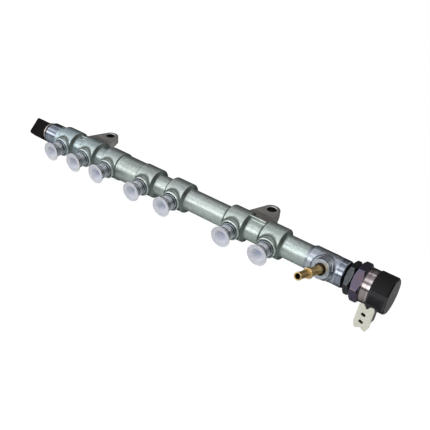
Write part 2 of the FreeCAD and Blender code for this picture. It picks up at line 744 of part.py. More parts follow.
def valve_head():
    """Black moulded head with its connector shoe; the coil's cavity is cut last."""
    barrel = turned([
        (YOKE_END, 0, 0),
        (YOKE_END, HEAD_R, HEAD_SEAM_R),
        (HEAD_END, HEAD_R, HEAD_EDGE_R),
        (HEAD_END, 0, 0),
    ])
    spigot = rod(COIL_START, YOKE_END + OVERCUT, YOKE_CAVITY_R - FIT_CLEARANCE)
    neck = prism(NECK_OUTLINE, NECK_END - NECK_START)
    neck.Placement = FreeCAD.Placement(
        V(NECK_START, 0, 0), FreeCAD.Rotation(V(0, 1, 0), V(0, 0, 1), V(1, 0, 0), "ZXY"))
    shoe = rounded_box(SHOE_HALF, SHOE_BOTTOM, SHOE_TOP, SHOE_BACK, SHOE_FRONT, SHOE_CORNER_R)
    tongue = rounded_box(
        TONGUE_HALF, TONGUE_BOTTOM, SHOE_BOTTOM + SHOE_HALF, TONGUE_BACK, SHOE_FRONT, SHOE_CORNER_R)
    fitting = shoe.fuse([tongue, neck])
    fitting.Placement = SHOE_PLACE
    clear_of_yoke = fitting.cut(rod(YOKE_START, YOKE_END, YOKE_R + FIT_CLEARANCE))
    body = barrel.fuse([spigot, clear_of_yoke])
    floor = SHOE_FRONT - SHOE_SOCKET
    socket = rounded_box(
        SHOE_HALF - SHOE_WALL, SHOE_BOTTOM + SHOE_WALL, SHOE_TOP - 2 * SHOE_WALL,
        floor, SHOE_FRONT + OVERCUT, SHOE_CORNER_R / 2)
    socket = socket.fuse(rounded_box(
        TONGUE_HALF - SHOE_WALL, TONGUE_BOTTOM + SHOE_WALL, SHOE_BOTTOM + SHOE_HALF,
        floor, SHOE_FRONT + OVERCUT, SHOE_CORNER_R / 2))
    socket.Placement = SHOE_PLACE
    tools = [
        rod(COIL_START - OVERCUT, COIL_END, HEAD_CAVITY_R),
        socket,
    ]
    tools += [valve_blade(centre) for centre in SLOT_CENTRES]
    return single(body.cut(tools))


def valve_coil():
    return ring(COIL_START, COIL_END, COIL_R, CARTRIDGE_STEM_R + FIT_CLEARANCE)


def valve_blade(centre):
    """Flat contact in the shoe's socket, under one slot of the cover."""
    start = SHOE_FRONT - SHOE_SOCKET - BLADE_ROOT
    end = SHOE_FRONT - SHOE_SOCKET + BLADE_FREE
    blade = slot(centre, BLADE_LENGTH, BLADE_WIDTH, SLOT_TURN, start, end)
    blade.Placement = SHOE_PLACE.multiply(blade.Placement)
    return blade


def valve_connector_cover():
    """Cream cover plate with a notch at each end and two slanted slots."""
    right = [(x, y, COVER_CORNER_R) for x, y in COVER_HALF_OUTLINE]
    left = [(-x, y, r) for x, y, r in right[-2:0:-1]]
    plate = prism(right + left, COVER).translate(V(0, 0, SHOE_FRONT))
    slots = [slot(c, SLOT_LENGTH, SLOT_WIDTH, SLOT_TURN, SHOE_FRONT - OVERCUT,
                  SHOE_FRONT + COVER + OVERCUT)
             for c in SLOT_CENTRES]
    plate = single(plate.cut(slots))
    plate.Placement = SHOE_PLACE
    return plate


def return_fitting():
    """Brass nipple: threaded tail, shoulder, stem, hexagon and hose end, bored through."""
    shoulder = PAD_TOP - PORT_RECESS + WASHER
    inside_hexagon = FITTING_HEX_AT + FITTING_HEX / 2
    outside = turned([
        (FITTING_TAIL, 0, 0),
        (FITTING_TAIL, PORT_THREAD_R - THREAD_CLEARANCE, FITTING_TAIL_EDGE_R),
        (shoulder, PORT_THREAD_R - THREAD_CLEARANCE, 0),
        (shoulder, FITTING_SHOULDER_R, 0),
        (shoulder + FITTING_SHOULDER, FITTING_SHOULDER_R, 0),
        (shoulder + FITTING_SHOULDER, FITTING_STEM_R, 0),
        (FITTING_WAIST_AT, FITTING_STEM_R, FITTING_WAIST_BEND_R),
        (FITTING_WAIST_AT + FITTING_WAIST_RUN, FITTING_WAIST_R, FITTING_WAIST_BEND_R),
        (inside_hexagon, FITTING_WAIST_R, 0),
        (inside_hexagon, FITTING_TUBE_R, 0),
        (FITTING_TOP - FITTING_RIM, FITTING_TUBE_R, 0),
        (FITTING_TOP - FITTING_RIM + FITTING_RIM_RAMP, FITTING_RIM_R, FITTING_RIM_BEND_R),
        (FITTING_TOP, FITTING_RIM_R, FITTING_MOUTH_EDGE_R),
        (FITTING_TOP, 0, 0),
    ])
    hexagonal = hexagon(FITTING_HEX_AT, FITTING_HEX_AT + FITTING_HEX, FITTING_HEX_CORNER_R, HEX_TURN)
    body = outside.fuse(hexagonal)
    bores = [
        rod(FITTING_TAIL - OVERCUT, FITTING_TOP, FITTING_JET_R),
        rod(FITTING_TOP - FITTING_BORE_DEPTH, FITTING_TOP + OVERCUT, FITTING_BORE_R),
    ]
    return aimed(single(body.cut(bores)), PORT_BASE, PORT_DIRECTION)


def return_washer():
    floor = PAD_TOP - PORT_RECESS
    washer = ring(floor, floor + WASHER, PORT_RECESS_R - FIT_CLEARANCE, PORT_THREAD_R)
    return aimed(washer, PORT_BASE, PORT_DIRECTION)


def build_nodes():
    """Every piece by node name, with the rail axis still on X."""
    nodes = {"rail_body": rail_body()}
    cap = port_cap()
    for index, x in enumerate(OUTLET_X):
        nodes["port_cap_%d" % (index + 1)] = aimed(cap, V(x, 0, 0), OUTWARD)
    nodes["sensor_body"] = sensor_body()
    nodes["sensor_seal"] = ring(LEFT_END - SENSOR_GAP, LEFT_END, SENSOR_SEAL_R, SENSOR_NECK_R)
    nodes["sensor_diaphragm"] = sensor_diaphragm()
    nodes["sensor_connector"] = sensor_connector()
    for index, place in enumerate(sensor_pin_places()):
        nodes["sensor_pin_%d" % (index + 1)] = sensor_pin(place)
    nodes["return_washer"] = return_washer()
    nodes["return_fitting"] = return_fitting()
    nodes["valve_seal"] = ring(RIGHT_END, SEAL_END, VALVE_SEAL_R, CARTRIDGE_THREAD_R)
    nodes["valve_lock_nut"] = valve_lock_nut()
    nodes["valve_spacer"] = ring(LOCK_END, SPACER_END, SPACER_R, CARTRIDGE_THREAD_R)
    nodes["valve_hex_nut"] = valve_hex_nut()
    nodes["valve_cartridge"] = valve_cartridge()
    nodes["valve_ball"] = valve_ball()
    nodes["valve_armature"] = valve_armature()
    nodes["valve_spring"] = valve_spring()
    nodes["valve_pole"] = valve_pole()
    nodes["valve_coil"] = valve_coil()
    nodes["valve_yoke"] = valve_yoke()
    nodes["valve_head"] = valve_head()
    nodes["valve_connector_cover"] = valve_connector_cover()
    for index, centre in enumerate(SLOT_CENTRES):
        nodes["valve_blade_%d" % (index + 1)] = valve_blade(centre)
    return nodes


def export_nodes():
    os.makedirs("parts", exist_ok=True)
    shift = V(0, -LUG_REACH, -SEAT_LEVEL)
    for name, shape in build_nodes().items():
        moved = shape.copy()
        moved.translate(shift)
        moved.exportStep(os.path.join("parts", name + ".step"))
        print(name, "valid" if moved.isValid() else "INVALID", round(moved.Volume, 1))


export_nodes()
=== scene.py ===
import logging
import math
from collections.abc import Callable, Iterable, Sequence
from dataclasses import dataclass
from enum import Enum

import bmesh
import bpy
import numpy as np
from mathutils import Matrix, Vector


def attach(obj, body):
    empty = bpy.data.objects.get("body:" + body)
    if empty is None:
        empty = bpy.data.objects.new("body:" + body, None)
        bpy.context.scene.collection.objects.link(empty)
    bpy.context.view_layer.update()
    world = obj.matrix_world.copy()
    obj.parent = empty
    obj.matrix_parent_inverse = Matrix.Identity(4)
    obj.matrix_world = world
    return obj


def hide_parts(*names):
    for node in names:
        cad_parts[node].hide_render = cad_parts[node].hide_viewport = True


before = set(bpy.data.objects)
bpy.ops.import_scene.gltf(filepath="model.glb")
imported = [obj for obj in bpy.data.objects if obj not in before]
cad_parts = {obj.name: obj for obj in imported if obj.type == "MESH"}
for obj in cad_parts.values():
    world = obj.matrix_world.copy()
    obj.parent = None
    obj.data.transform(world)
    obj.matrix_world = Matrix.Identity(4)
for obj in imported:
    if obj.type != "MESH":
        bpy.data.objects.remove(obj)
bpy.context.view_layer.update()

Mesh = bpy.types.Mesh
Object = bpy.types.Object
Socket = bpy.types.NodeSocket
Tree = bpy.types.NodeTree
Point = tuple[float, float, float]
Colour = tuple[float, float, float]
Points = Sequence[Point]
Stops = tuple[tuple[float, Colour], ...]

LOG = logging.getLogger("fuel_rail")

# Sizes are in millimetres with the rail axis on X, as in the part's source. ROW_SHIFT moves them to
# the row frame, whose origin is the middle of the fixing holes.
MM = 0.001
ROW_SHIFT = np.array([0.0, -28.0, 0.0])
ALONG = np.array([1.0, 0.0, 0.0])
UP = np.array([0.0, 0.0, 1.0])

OUTLET_X = (-124.0, -92.5, -62.0, -17.0, 19.0, 84.0, 120.5)
LUG_X = (-98.25, 98.25)
LEFT_END = -152.8
RIGHT_END = 187.0
PORT_X = 171.1
PORT_RISE = math.radians(19.0)
PORT_LEAN = math.radians(4.0)
# Degrees by which an edge may turn and still be shaded smooth.
SHARP = 32.0
# An arc takes up no more than this share of either line, and half the angle between two lines, in
# radians, over which they count as straight.
ARC_SHARE = 0.49
STRAIGHT = 1.55
# Points on each flat of a hexagon, and the angle of its chamfer.
FLAT_POINTS = 32
CHAMFER = math.radians(30.0)

# Limits between which the noise patterns' values lie, apart from their rare ends.
NOISE_SPAN = (0.34, 0.66)
SPECKLE_SPAN = (0.3, 0.7)
# Pointiness is 0.5 on a flat face, more on an edge and less in a corner.
# EDGE_BEND finds edges for wear and painted highlight.
EDGE_BEND = (0.515, 0.58)
# HOLLOW_BEND finds corners and recesses for painted shade.
HOLLOW_BEND = (0.497, 0.472)
# Places of the colour sockets among a mix node's inputs and outputs.
MIX_COLOURS = (6, 7)
MIX_RESULT = 2


class Side(Enum):
    """Which end of a row of rings is closed with a flat face."""

    NONE = 0
    START = 1
    END = 2
    BOTH = 3


class Grain(Enum):
    """How a finish's pattern lies."""

    EVEN = (1.0, 1.0, 1.0)
    TURNED = (22.0, 0.8, 0.8)
    DRAWN = (0.35, 1.0, 1.0)


@dataclass(frozen=True)
class Finish:
    """One procedural surface finish.

    Attributes:
        name: Material name.
        slot: Material slot of the record that it stands for; not used by this script.
        colour: Main colour, linear RGB.
        second: Colour of the broad patches.
        edge: Colour of worn edges, which is also a painted highlight.
        hollow: Colour of painted shade in corners and recesses.
        metallic: 0 for plastics and rubber, 1 for metal.
        roughness: Lowest and highest roughness.
        lay: How the pattern lies.
        grain: Size of the fine bumps in millimetres.
        depth: Height of the fine bumps in millimetres.
        patch: Size of the broad patches in millimetres.
        speck: Share of the fine pattern in the patches.
        swell: Height of the broad bumps in millimetres.
        wear_and_highlight: How strongly edges take the edge colour, as wear and painted highlight.
        corner_shade: How strongly corners take the hollow colour as painted shade.
        specular: Specular level of plastics.
        rim: Grey of a metal's reflection at a grazing angle.
        transmission: Share of light let through.
        subsurface: Subsurface weight.
        tints: (x in millimetres, colour) stops that tint the plating along the rail.
    """

    name: str
    slot: str
    colour: Colour
    second: Colour
    edge: Colour
    hollow: Colour = (0.05, 0.05, 0.05)
    metallic: float = 1.0
    roughness: tuple[float, float] = (0.3, 0.45)
    lay: Grain = Grain.EVEN
    grain: float = 0.4
    depth: float = 0.01
    patch: float = 7.0
    speck: float = 0.0
    swell: float = 0.0
    wear_and_highlight: float = 0.3
    corner_shade: float = 0.5
    specular: float = 0.5
    rim: float = 0.35
    transmission: float = 0.0
    subsurface: float = 0.0
    tints: Stops = ()


ZINC = Finish(
    "zinc_forging", "zinc_steel", (0.74, 0.82, 0.81), (0.46, 0.52, 0.51), (0.88, 0.92, 0.92),
    hollow=(0.09, 0.10, 0.09), roughness=(0.34, 0.48), lay=Grain.DRAWN, grain=0.9, depth=0.04,
    patch=5.0, speck=0.55, swell=0.08, wear_and_highlight=0.4, corner_shade=0.95, rim=0.0, tints=(
        (-150.0, (0.88, 0.97, 1.05)), (-95.0, (0.92, 0.97, 1.0)), (-40.0, (0.90, 0.90, 0.86)),
        (30.0, (1.0, 1.0, 0.97)), (120.0, (0.98, 1.0, 0.95)), (150.0, (0.97, 1.0, 0.98))))
LUG = Finish(
    "zinc_lug", "zinc_steel", (0.66, 0.65, 0.61), (0.45, 0.44, 0.41), (0.84, 0.84, 0.82),
    hollow=(0.12, 0.11, 0.10), roughness=(0.36, 0.50), grain=0.8, depth=0.03, patch=6.0, speck=0.5,
    swell=0.06, wear_and_highlight=0.6, corner_shade=0.8, rim=0.1)
MACHINED = Finish(
    "zinc_machined", "zinc_steel", (0.64, 0.70, 0.79), (0.47, 0.53, 0.57), (0.86, 0.90, 0.94),
    hollow=(0.14, 0.16, 0.18), roughness=(0.26, 0.40), lay=Grain.TURNED, grain=0.6, depth=0.006,
    patch=30.0, speck=0.2, swell=0.02, wear_and_highlight=0.4, corner_shade=0.8, rim=0.0)
TURNED = Finish(
    "zinc_turned", "zinc_steel", (0.46, 0.50, 0.57), (0.26, 0.31, 0.38), (0.90, 0.92, 0.95),
    hollow=(0.06, 0.07, 0.09), roughness=(0.12, 0.22), lay=Grain.TURNED, grain=0.35, depth=0.004,
    patch=26.0, wear_and_highlight=0.7, rim=0.0)
# Near-black finish that is painted shade in the lugs' holes, the pad's recess and round the nipple's
# foot.
BORE_SHADE = Finish(
    "painted_bore_shade", "zinc_steel", (0.05, 0.045, 0.04), (0.03, 0.03, 0.03), (0.10, 0.10, 0.10),
    hollow=(0.01, 0.01, 0.01), roughness=(0.4, 0.55), rim=0.0)
# Darker and rougher zinc; its darker colour is painted shade on the bands' flanks and in the stubs'
# fillets.
FLANK_SHADE = Finish(
    "zinc_flank_shade", "zinc_steel", (0.33, 0.38, 0.36), (0.20, 0.24, 0.22), (0.60, 0.66, 0.63),
    hollow=(0.07, 0.08, 0.075), roughness=(0.40, 0.52), grain=0.6, depth=0.02, patch=5.0, speck=0.6,
    wear_and_highlight=0.5, corner_shade=0.9, rim=0.0)
THREAD = Finish(
    "thread_steel", "zinc_steel", (0.70, 0.77, 0.84), (0.50, 0.57, 0.64), (0.92, 0.95, 0.98),
    hollow=(0.20, 0.22, 0.25), roughness=(0.28, 0.40), grain=0.3, depth=0.004, patch=3.0, wear_and_highlight=0.5,
    corner_shade=0.5, rim=0.1)
CAP = Finish(
    "cap_plastic", "cap_plastic", (0.84, 0.85, 0.91), (0.78, 0.80, 0.88), (0.90, 0.90, 0.93),
    hollow=(0.62, 0.66, 0.77), metallic=0.0, roughness=(0.38, 0.50), grain=0.5, depth=0.004,
    patch=4.0, wear_and_highlight=0.3, corner_shade=0.9, specular=0.35, transmission=0.10, subsurface=0.6)
SENSOR_STEEL = Finish(
    "sensor_steel", "sensor_steel", (0.62, 0.57, 0.54), (0.52, 0.48, 0.46), (0.82, 0.78, 0.75),
    roughness=(0.26, 0.36), lay=Grain.TURNED, grain=0.3, depth=0.004, patch=20.0, rim=0.1)
RUBBER = Finish(
    "seal_rubber", "seal_rubber", (0.003, 0.003, 0.004), (0.005, 0.005, 0.006), (0.01, 0.01, 0.01),
    hollow=(0.001, 0.001, 0.001), metallic=0.0, roughness=(0.7, 0.85), grain=0.3, depth=0.006,
    patch=3.0, wear_and_highlight=0.1, specular=0.06)
BLACK = Finish(
    "black_moulding", "black_moulding", (0.007, 0.008, 0.010), (0.011, 0.010, 0.010),
    (0.07, 0.07, 0.075), hollow=(0.002, 0.002, 0.002), metallic=0.0, roughness=(0.42, 0.56),
    grain=0.35, depth=0.012, patch=6.0, speck=0.2, wear_and_highlight=0.7, specular=0.2)
PLUG = Finish(
    "plug_moulding", "black_moulding", (0.0025, 0.002, 0.002), (0.004, 0.003, 0.003),
    (0.03, 0.026, 0.026), hollow=(0.001, 0.001, 0.001), metallic=0.0, roughness=(0.60, 0.75),
    grain=0.35, depth=0.012, patch=6.0, speck=0.2, wear_and_highlight=0.6, specular=0.02)
SHOE = Finish(
    "connector_moulding", "black_moulding", (0.010, 0.010, 0.014), (0.015, 0.014, 0.018),
    (0.08, 0.08, 0.09), hollow=(0.001, 0.001, 0.001), metallic=0.0, roughness=(0.36, 0.48),
    grain=0.35, depth=0.012, patch=5.0, speck=0.2, wear_and_highlight=0.8, corner_shade=1.0, specular=0.4)
# The head's black moulding painted lighter grey on its end face: painted light.
LIT_END_FACE = Finish(
    "end_face_painted_light", "black_moulding", (0.105, 0.103, 0.098), (0.070, 0.068, 0.065),
    (0.20, 0.20, 0.20), hollow=(0.01, 0.01, 0.01), metallic=0.0, roughness=(0.40, 0.52),
    grain=0.35, depth=0.012, patch=5.0, speck=0.3, wear_and_highlight=0.6, specular=0.35)
CONTACT = Finish(
    "contact_metal", "contact_metal", (0.66, 0.62, 0.52), (0.56, 0.52, 0.42), (0.8, 0.78, 0.7),
    roughness=(0.2, 0.3), grain=0.2, depth=0.002, patch=2.0)
BRASS = Finish(
    "brass_fitting", "brass_fitting", (0.95, 0.73, 0.37), (0.66, 0.46, 0.19), (1.0, 0.92, 0.70),
    hollow=(0.12, 0.07, 0.03), roughness=(0.34, 0.48), grain=0.25, depth=0.010, patch=2.0,
    speck=0.3, wear_and_highlight=0.7, corner_shade=0.8, rim=0.3)
# Copper painted near-black: painted shade on the washer down in the pad's recess.
COPPER = Finish(
    "copper_washer", "copper_washer", (0.06, 0.03, 0.02), (0.04, 0.02, 0.015), (0.2, 0.12, 0.08),
    roughness=(0.4, 0.5), grain=0.3, depth=0.004, patch=2.0)
LOCK = Finish(
    "nut_steel", "nut_steel", (0.11, 0.12, 0.13), (0.07, 0.075, 0.08), (0.40, 0.42, 0.44),
    hollow=(0.01, 0.01, 0.01), roughness=(0.34, 0.46), grain=0.3, depth=0.006, patch=3.0,
    speck=0.3, wear_and_highlight=0.8, rim=0.4)
HEX = Finish(
    "hex_steel", "hex_steel", (0.108, 0.110, 0.210), (0.150, 0.108, 0.112), (0.42, 0.39, 0.46),
    hollow=(0.02, 0.012, 0.015), roughness=(0.34, 0.46), grain=0.3, depth=0.008, patch=6.0,
    speck=0.3, wear_and_highlight=0.8, rim=0.6)
# The yoke's dark-brown second colour, in broad patches, is painted reflection of dark surroundings on
# the polished steel.
POLISHED = Finish(
    "yoke_steel", "yoke_steel", (0.66, 0.62, 0.65), (0.28, 0.21, 0.19), (0.9, 0.88, 0.9),
    hollow=(0.08, 0.06, 0.05), roughness=(0.08, 0.16), lay=Grain.TURNED, grain=0.5, depth=0.003,
    patch=40.0, wear_and_highlight=0.5, rim=0.0)
CREAM = Finish(
    "cream_moulding", "cream_moulding", (0.80, 0.79, 0.69), (0.74, 0.73, 0.63), (0.87, 0.86, 0.78),
    hollow=(0.36, 0.34, 0.26), metallic=0.0, roughness=(0.45, 0.58), grain=0.4, depth=0.006,
    patch=5.0, wear_and_highlight=0.3, corner_shade=0.6, specular=0.3)


def sockets(tree: Tree, side: str, names: dict[str, str]) -> None:
    """Adds named sockets of the given types to a node group's interface."""
    for name, kind in names.items():
        tree.interface.new_socket(name, in_out=side, socket_type=kind)


def fill(tree: Tree, node: bpy.types.Node, inputs: dict[str | int, object]) -> None:
    """Feeds a node's inputs.

    Args:
        tree: The tree that it is in.
        node: The node.
        inputs: For each input, by name or number, a socket to link or a value to set.
    """
    for key, value in inputs.items():
        if isinstance(value, Socket):
            tree.links.new(value, node.inputs[key])
        else:
            node.inputs[key].default_value = value


def add_node(tree: Tree, kind: str, inputs: dict[str | int, object],
             **settings: object) -> bpy.types.Node:
    """Adds a node to a tree.

    Args:
        tree: The tree.
        kind: Node type.
        inputs: What feeds it, as in fill.
        settings: Its own settings, such as its operation.

    Returns:
        The node.
    """
    node = tree.nodes.new(kind)
    for name, value in settings.items():
        setattr(node, name, value)
    fill(tree, node, inputs)
    return node


def arithmetic(tree: Tree, operation: str, *values: Socket | float) -> Socket:
    """Gives the result of a math node fed by the values in order."""
    return add_node(tree, "ShaderNodeMath", dict(enumerate(values)), operation=operation).outputs[0]


def ranged(tree: Tree, value: Socket, low: float, high: float,
           to: tuple[float, float] = (0.0, 1.0), **settings: object) -> Socket:
    """Gives a value mapped from low..high to another range, 0..1 unless it is given."""
    ends = {"From Min": low, "From Max": high, "To Min": to[0], "To Max": to[1]}
    return add_node(tree, "ShaderNodeMapRange", {"Value": value, **ends}, **settings).outputs["Result"]


def mixed(tree: Tree, factor: Socket, first: Socket | Colour, second: Socket | Colour) -> Socket:
    """Mixes two colours.

    Args:
        tree: The node tree to add to.
        factor: Share of the second colour.
        first: Colour at 0, a constant or a socket.
        second: Colour at 1, a constant or a socket.

    Returns:
        The mixed colour.
    """
    inputs: dict[str | int, object] = {0: factor}
    for key, colour in zip(MIX_COLOURS, (first, second)):
        inputs[key] = (*colour, 1.0) if isinstance(colour, tuple) else colour
    return add_node(tree, "ShaderNodeMix", inputs, data_type="RGBA").outputs[MIX_RESULT]


def ramp(tree: Tree, value: Socket, stops: Stops, unit: float) -> Socket:
    """Looks a value up in a row of colours.

    Args:
        tree: The node tree to add to.
        value: The value.
        stops: (value in the row's unit, colour) pairs in order.
        unit: The row's unit in that of the value.

    Returns:
        The colour.
    """
    low, high = stops[0][0], stops[-1][0]
    node = add_node(tree, "ShaderNodeValToRGB", {"Fac": ranged(tree, value, low * unit, high * unit)})
    elements = node.color_ramp.elements
    while len(elements) < len(stops):
        elements.new(0.5)
    for element, (at, colour) in zip(elements, stops):
        element.position = (at - low) / (high - low)
        element.color = (*colour, 1.0)
    return node.outputs["Color"]


def surface_group() -> Tree:
    """Builds the shared group that turns object coordinates into masks and a bump height.

    Returns:
        A group with inputs Place, Grain, Patch, Speck, Depth, Swell, EdgeWearAndHighlight and
        CornerShade, and outputs Patches, Edge, Hollow, Speckle and Height. Edge is worn edges and
        painted highlight, Hollow is painted shade in corners.
    """
    tree = bpy.data.node_groups.new("surface_variation", "ShaderNodeTree")
    sockets(tree, "INPUT", {"Place": "NodeSocketVector"})
    sockets(tree, "INPUT", dict.fromkeys(
        ("Grain", "Patch", "Speck", "Depth", "Swell", "EdgeWearAndHighlight", "CornerShade"), "NodeSocketFloat"))
    sockets(tree, "OUTPUT", dict.fromkeys(
        ("Patches", "Edge", "Hollow", "Speckle", "Height"), "NodeSocketFloat"))
    given = tree.nodes.new("NodeGroupInput").outputs
    patches, grain = (add_node(tree, "ShaderNodeTexNoise", {
        "Vector": given["Place"], "Scale": given[scale], "Detail": detail, "Roughness": 0.6,
    }).outputs["Fac"] for scale, detail in (("Patch", 4.0), ("Grain", 3.0)))
    specked = add_node(tree, "ShaderNodeMix", {
        "Factor": given["Speck"], "A": ranged(tree, patches, *NOISE_SPAN),
        "B": ranged(tree, grain, *NOISE_SPAN)})
    bend = tree.nodes.new("ShaderNodeNewGeometry").outputs["Pointiness"]
    fine = arithmetic(tree, "MULTIPLY", grain, given["Depth"])
    add_node(tree, "NodeGroupOutput", {
        "Patches": specked.outputs["Result"],
        # Edge: wear and painted highlight on edges.
        "Edge": arithmetic(tree, "MULTIPLY", ranged(tree, bend, *EDGE_BEND), given["EdgeWearAndHighlight"]),
        # Hollow: painted shade in corners and recesses.
        "Hollow": arithmetic(tree, "MULTIPLY", ranged(tree, bend, *HOLLOW_BEND), given["CornerShade"]),
        "Speckle": grain,
        "Height": arithmetic(tree, "MULTIPLY_ADD", patches, given["Swell"], fine)})
    return tree


class Paintbox:
    """Makes each finish's material once."""

    def __init__(self) -> None:
        """Starts with no material made."""
        self.group = surface_group()
        self.made: dict[str, bpy.types.Material] = {}

    def material(self, finish: Finish) -> bpy.types.Material:
        """Gives the material of a finish, making it on first use.

        Args:
            finish: The finish to make.

        Returns:
            A node material.
        """
        if finish.name not in self.made:
            self.made[finish.name] = self._make(finish)
        return self.made[finish.name]

    def _make(self, finish: Finish) -> bpy.types.Material:
        """Builds the node material of a finish.

        Args:
            finish: What the surface is like.

        Returns:
            The new material.
        """
        material = bpy.data.materials.new(finish.name)
        material.use_nodes = True
        tree = material.node_tree
        place = tree.nodes.new("ShaderNodeTexCoord").outputs["Object"]
        lay = add_node(tree, "ShaderNodeMapping", {"Vector": place, "Scale": finish.lay.value})
        surface = add_node(tree, "ShaderNodeGroup", {
            "Place": lay.outputs["Vector"], "Grain": 1.0 / (finish.grain * MM),
            "Patch": 1.0 / (finish.patch * MM), "Speck": finish.speck, "Depth": finish.depth * MM,
            "Swell": finish.swell * MM, "EdgeWearAndHighlight": finish.wear_and_highlight, "CornerShade": finish.corner_shade,
        }, node_tree=self.group).outputs
        seen = mixed(tree, surface["Patches"], finish.colour, finish.second)
        if finish.tints:
            x = add_node(tree, "ShaderNodeSeparateXYZ", {"Vector": place}).outputs["X"]
            seen = add_node(tree, "ShaderNodeVectorMath", {
                0: seen, 1: ramp(tree, x, finish.tints, MM)}, operation="MULTIPLY").outputs["Vector"]
        # Corners take the hollow colour as painted shade; edges take the edge colour as wear and
        # painted highlight.
        for mask, colour in (("Hollow", finish.hollow), ("Edge", finish.edge)):
            seen = mixed(tree, surface[mask], seen, colour)
        bump = add_node(tree, "ShaderNodeBump", {"Distance": 1.0, "Height": surface["Height"]})
        rim = finish.rim if finish.metallic else 1.0
        fill(tree, tree.nodes["Principled BSDF"], {
            "Base Color": seen, "Metallic": finish.metallic, "Normal": bump.outputs["Normal"],
            "Roughness": ranged(tree, surface["Speckle"], *SPECKLE_SPAN, finish.roughness),
            "Specular IOR Level": finish.specular, "Specular Tint": (rim, rim, rim, 1.0),
            "Transmission Weight": finish.transmission, "Subsurface Weight": finish.subsurface,
            "Subsurface Radius": (0.002, 0.002, 0.0025)})
        return material


def rounded(points: Points, steps: int = 4) -> np.ndarray:
    """Rounds the corners of an open profile.

    Args:
        points: (along, radius, corner radius) for each corner.
        steps: Chords in each rounded corner.

    Returns:
        The profile's (along, radius) points.
    """
    raw = np.array([p[:2] for p in points], float)
    share = np.linspace(0, 1, steps + 1)[:, None]
    result = [raw[:1]]
    for i in range(1, len(raw) - 1):
        radius, here = points[i][2], raw[i]
        back, ahead = raw[i - 1] - here, raw[i + 1] - here
        back_length, ahead_length = np.linalg.norm(back), np.linalg.norm(ahead)
        if radius <= 0 or min(back_length, ahead_length) < 1e-9:
            result.append(here[None])
            continue
        back, ahead = back / back_length, ahead / ahead_length
        half = math.acos(float(np.clip(back @ ahead, -1, 1))) / 2
        room = ARC_SHARE * min(back_length, ahead_length)
        run = min(radius / math.tan(half), room) if half < STRAIGHT else 0.0
        start, end = here + back * run, here + ahead * run
        result.append(
            start * (1 - share) ** 2 + 2 * here * share * (1 - share) + end * share ** 2)
    return np.concatenate([*result, raw[-1:]])


def round_closed(points: Points, steps: int = 4) -> np.ndarray:
    """Rounds every corner of a closed outline.

    Args:
        points: (x, y, corner radius) for each corner.
        steps: Chords in each rounded corner.

    Returns:
        Array (points, 2).
    """
    rows = []
    for i, corner in enumerate(points):
        before, after = points[i - 1], points[(i + 1) % len(points)]
        rows.append(rounded([(*before[:2], 0), corner, (*after[:2], 0)], steps)[1:-1])
    return np.concatenate(rows)


def stacked(sections: Iterable[tuple[float, np.ndarray]]) -> np.ndarray:
    """Gives rings of (x, y, height) points from (height, flat outline) pairs."""
    return np.array([np.column_stack([flat, np.full(len(flat), height)]) for height, flat in sections])


def along_x(sections: Iterable[tuple[float, np.ndarray]]) -> np.ndarray:
    """Gives rings of (x, y, z) points from (x, flat outline in y and z) pairs."""
    return stacked(sections)[..., [2, 0, 1]]


def soft_bar(outline: np.ndarray, ends: Iterable[tuple[float, float]]) -> np.ndarray:
    """Gives the rings of a bar along X, from (x, scale) pairs about its outline's middle."""
    middle = outline.mean(0)
    return along_x((x, middle + (outline - middle) * scale) for x, scale in ends)


@dataclass(frozen=True)
class Axis:
    """A line that turned shapes stand on.

    Attributes:
        base: Where it starts.
        direction: Unit vector along it.
    """

    base: np.ndarray
    direction: np.ndarray

    def around(self, along: np.ndarray, radius: np.ndarray, angle: np.ndarray) -> np.ndarray:
        """Gives rings of points round the axis.

        Args:
            along: Places along it, as (rings, 1).
            radius: Distances from it, as (rings, 1) or (rings, points).
            angle: Turns about it in radians, as (points,).

        Returns:
            Array (rings, points, 3).
        """
        second = np.cross(UP, self.direction)
        second /= np.linalg.norm(second)
        third = np.cross(self.direction, second)
        spoke = np.cos(angle)[:, None] * second + np.sin(angle)[:, None] * third
        return self.base + along[..., None] * self.direction + radius[..., None] * spoke

    def measured(self, points: np.ndarray) -> tuple[np.ndarray, np.ndarray]:
        """Measures points, an array (..., 3), against the axis.

        Args:
            points: The points.

        Returns:
            How far along the axis they are, and how far away from it.
        """
        offset = points - self.base
        along = offset @ self.direction
        return along, np.linalg.norm(offset - along[..., None] * self.direction, axis=-1)


OUTLET = Axis(np.zeros(3), np.array([0.0, -1.0, 0.0]))
PORT = Axis(PORT_X * ALONG, np.array([
    -math.sin(PORT_LEAN),
    -math.cos(PORT_LEAN) * math.cos(PORT_RISE),
    math.cos(PORT_LEAN) * math.sin(PORT_RISE),
]))


def smooth_shaded(mesh: Mesh, sharp: float) -> Mesh:
    """Shades a mesh smooth apart from edges that turn by more than some degrees.

    Args:
        mesh: The mesh to shade.
        sharp: Limit in degrees.

    Returns:
        The same mesh.
    """
    mesh.shade_smooth()
    mesh.set_sharp_from_angle(angle=math.radians(sharp))
    return mesh


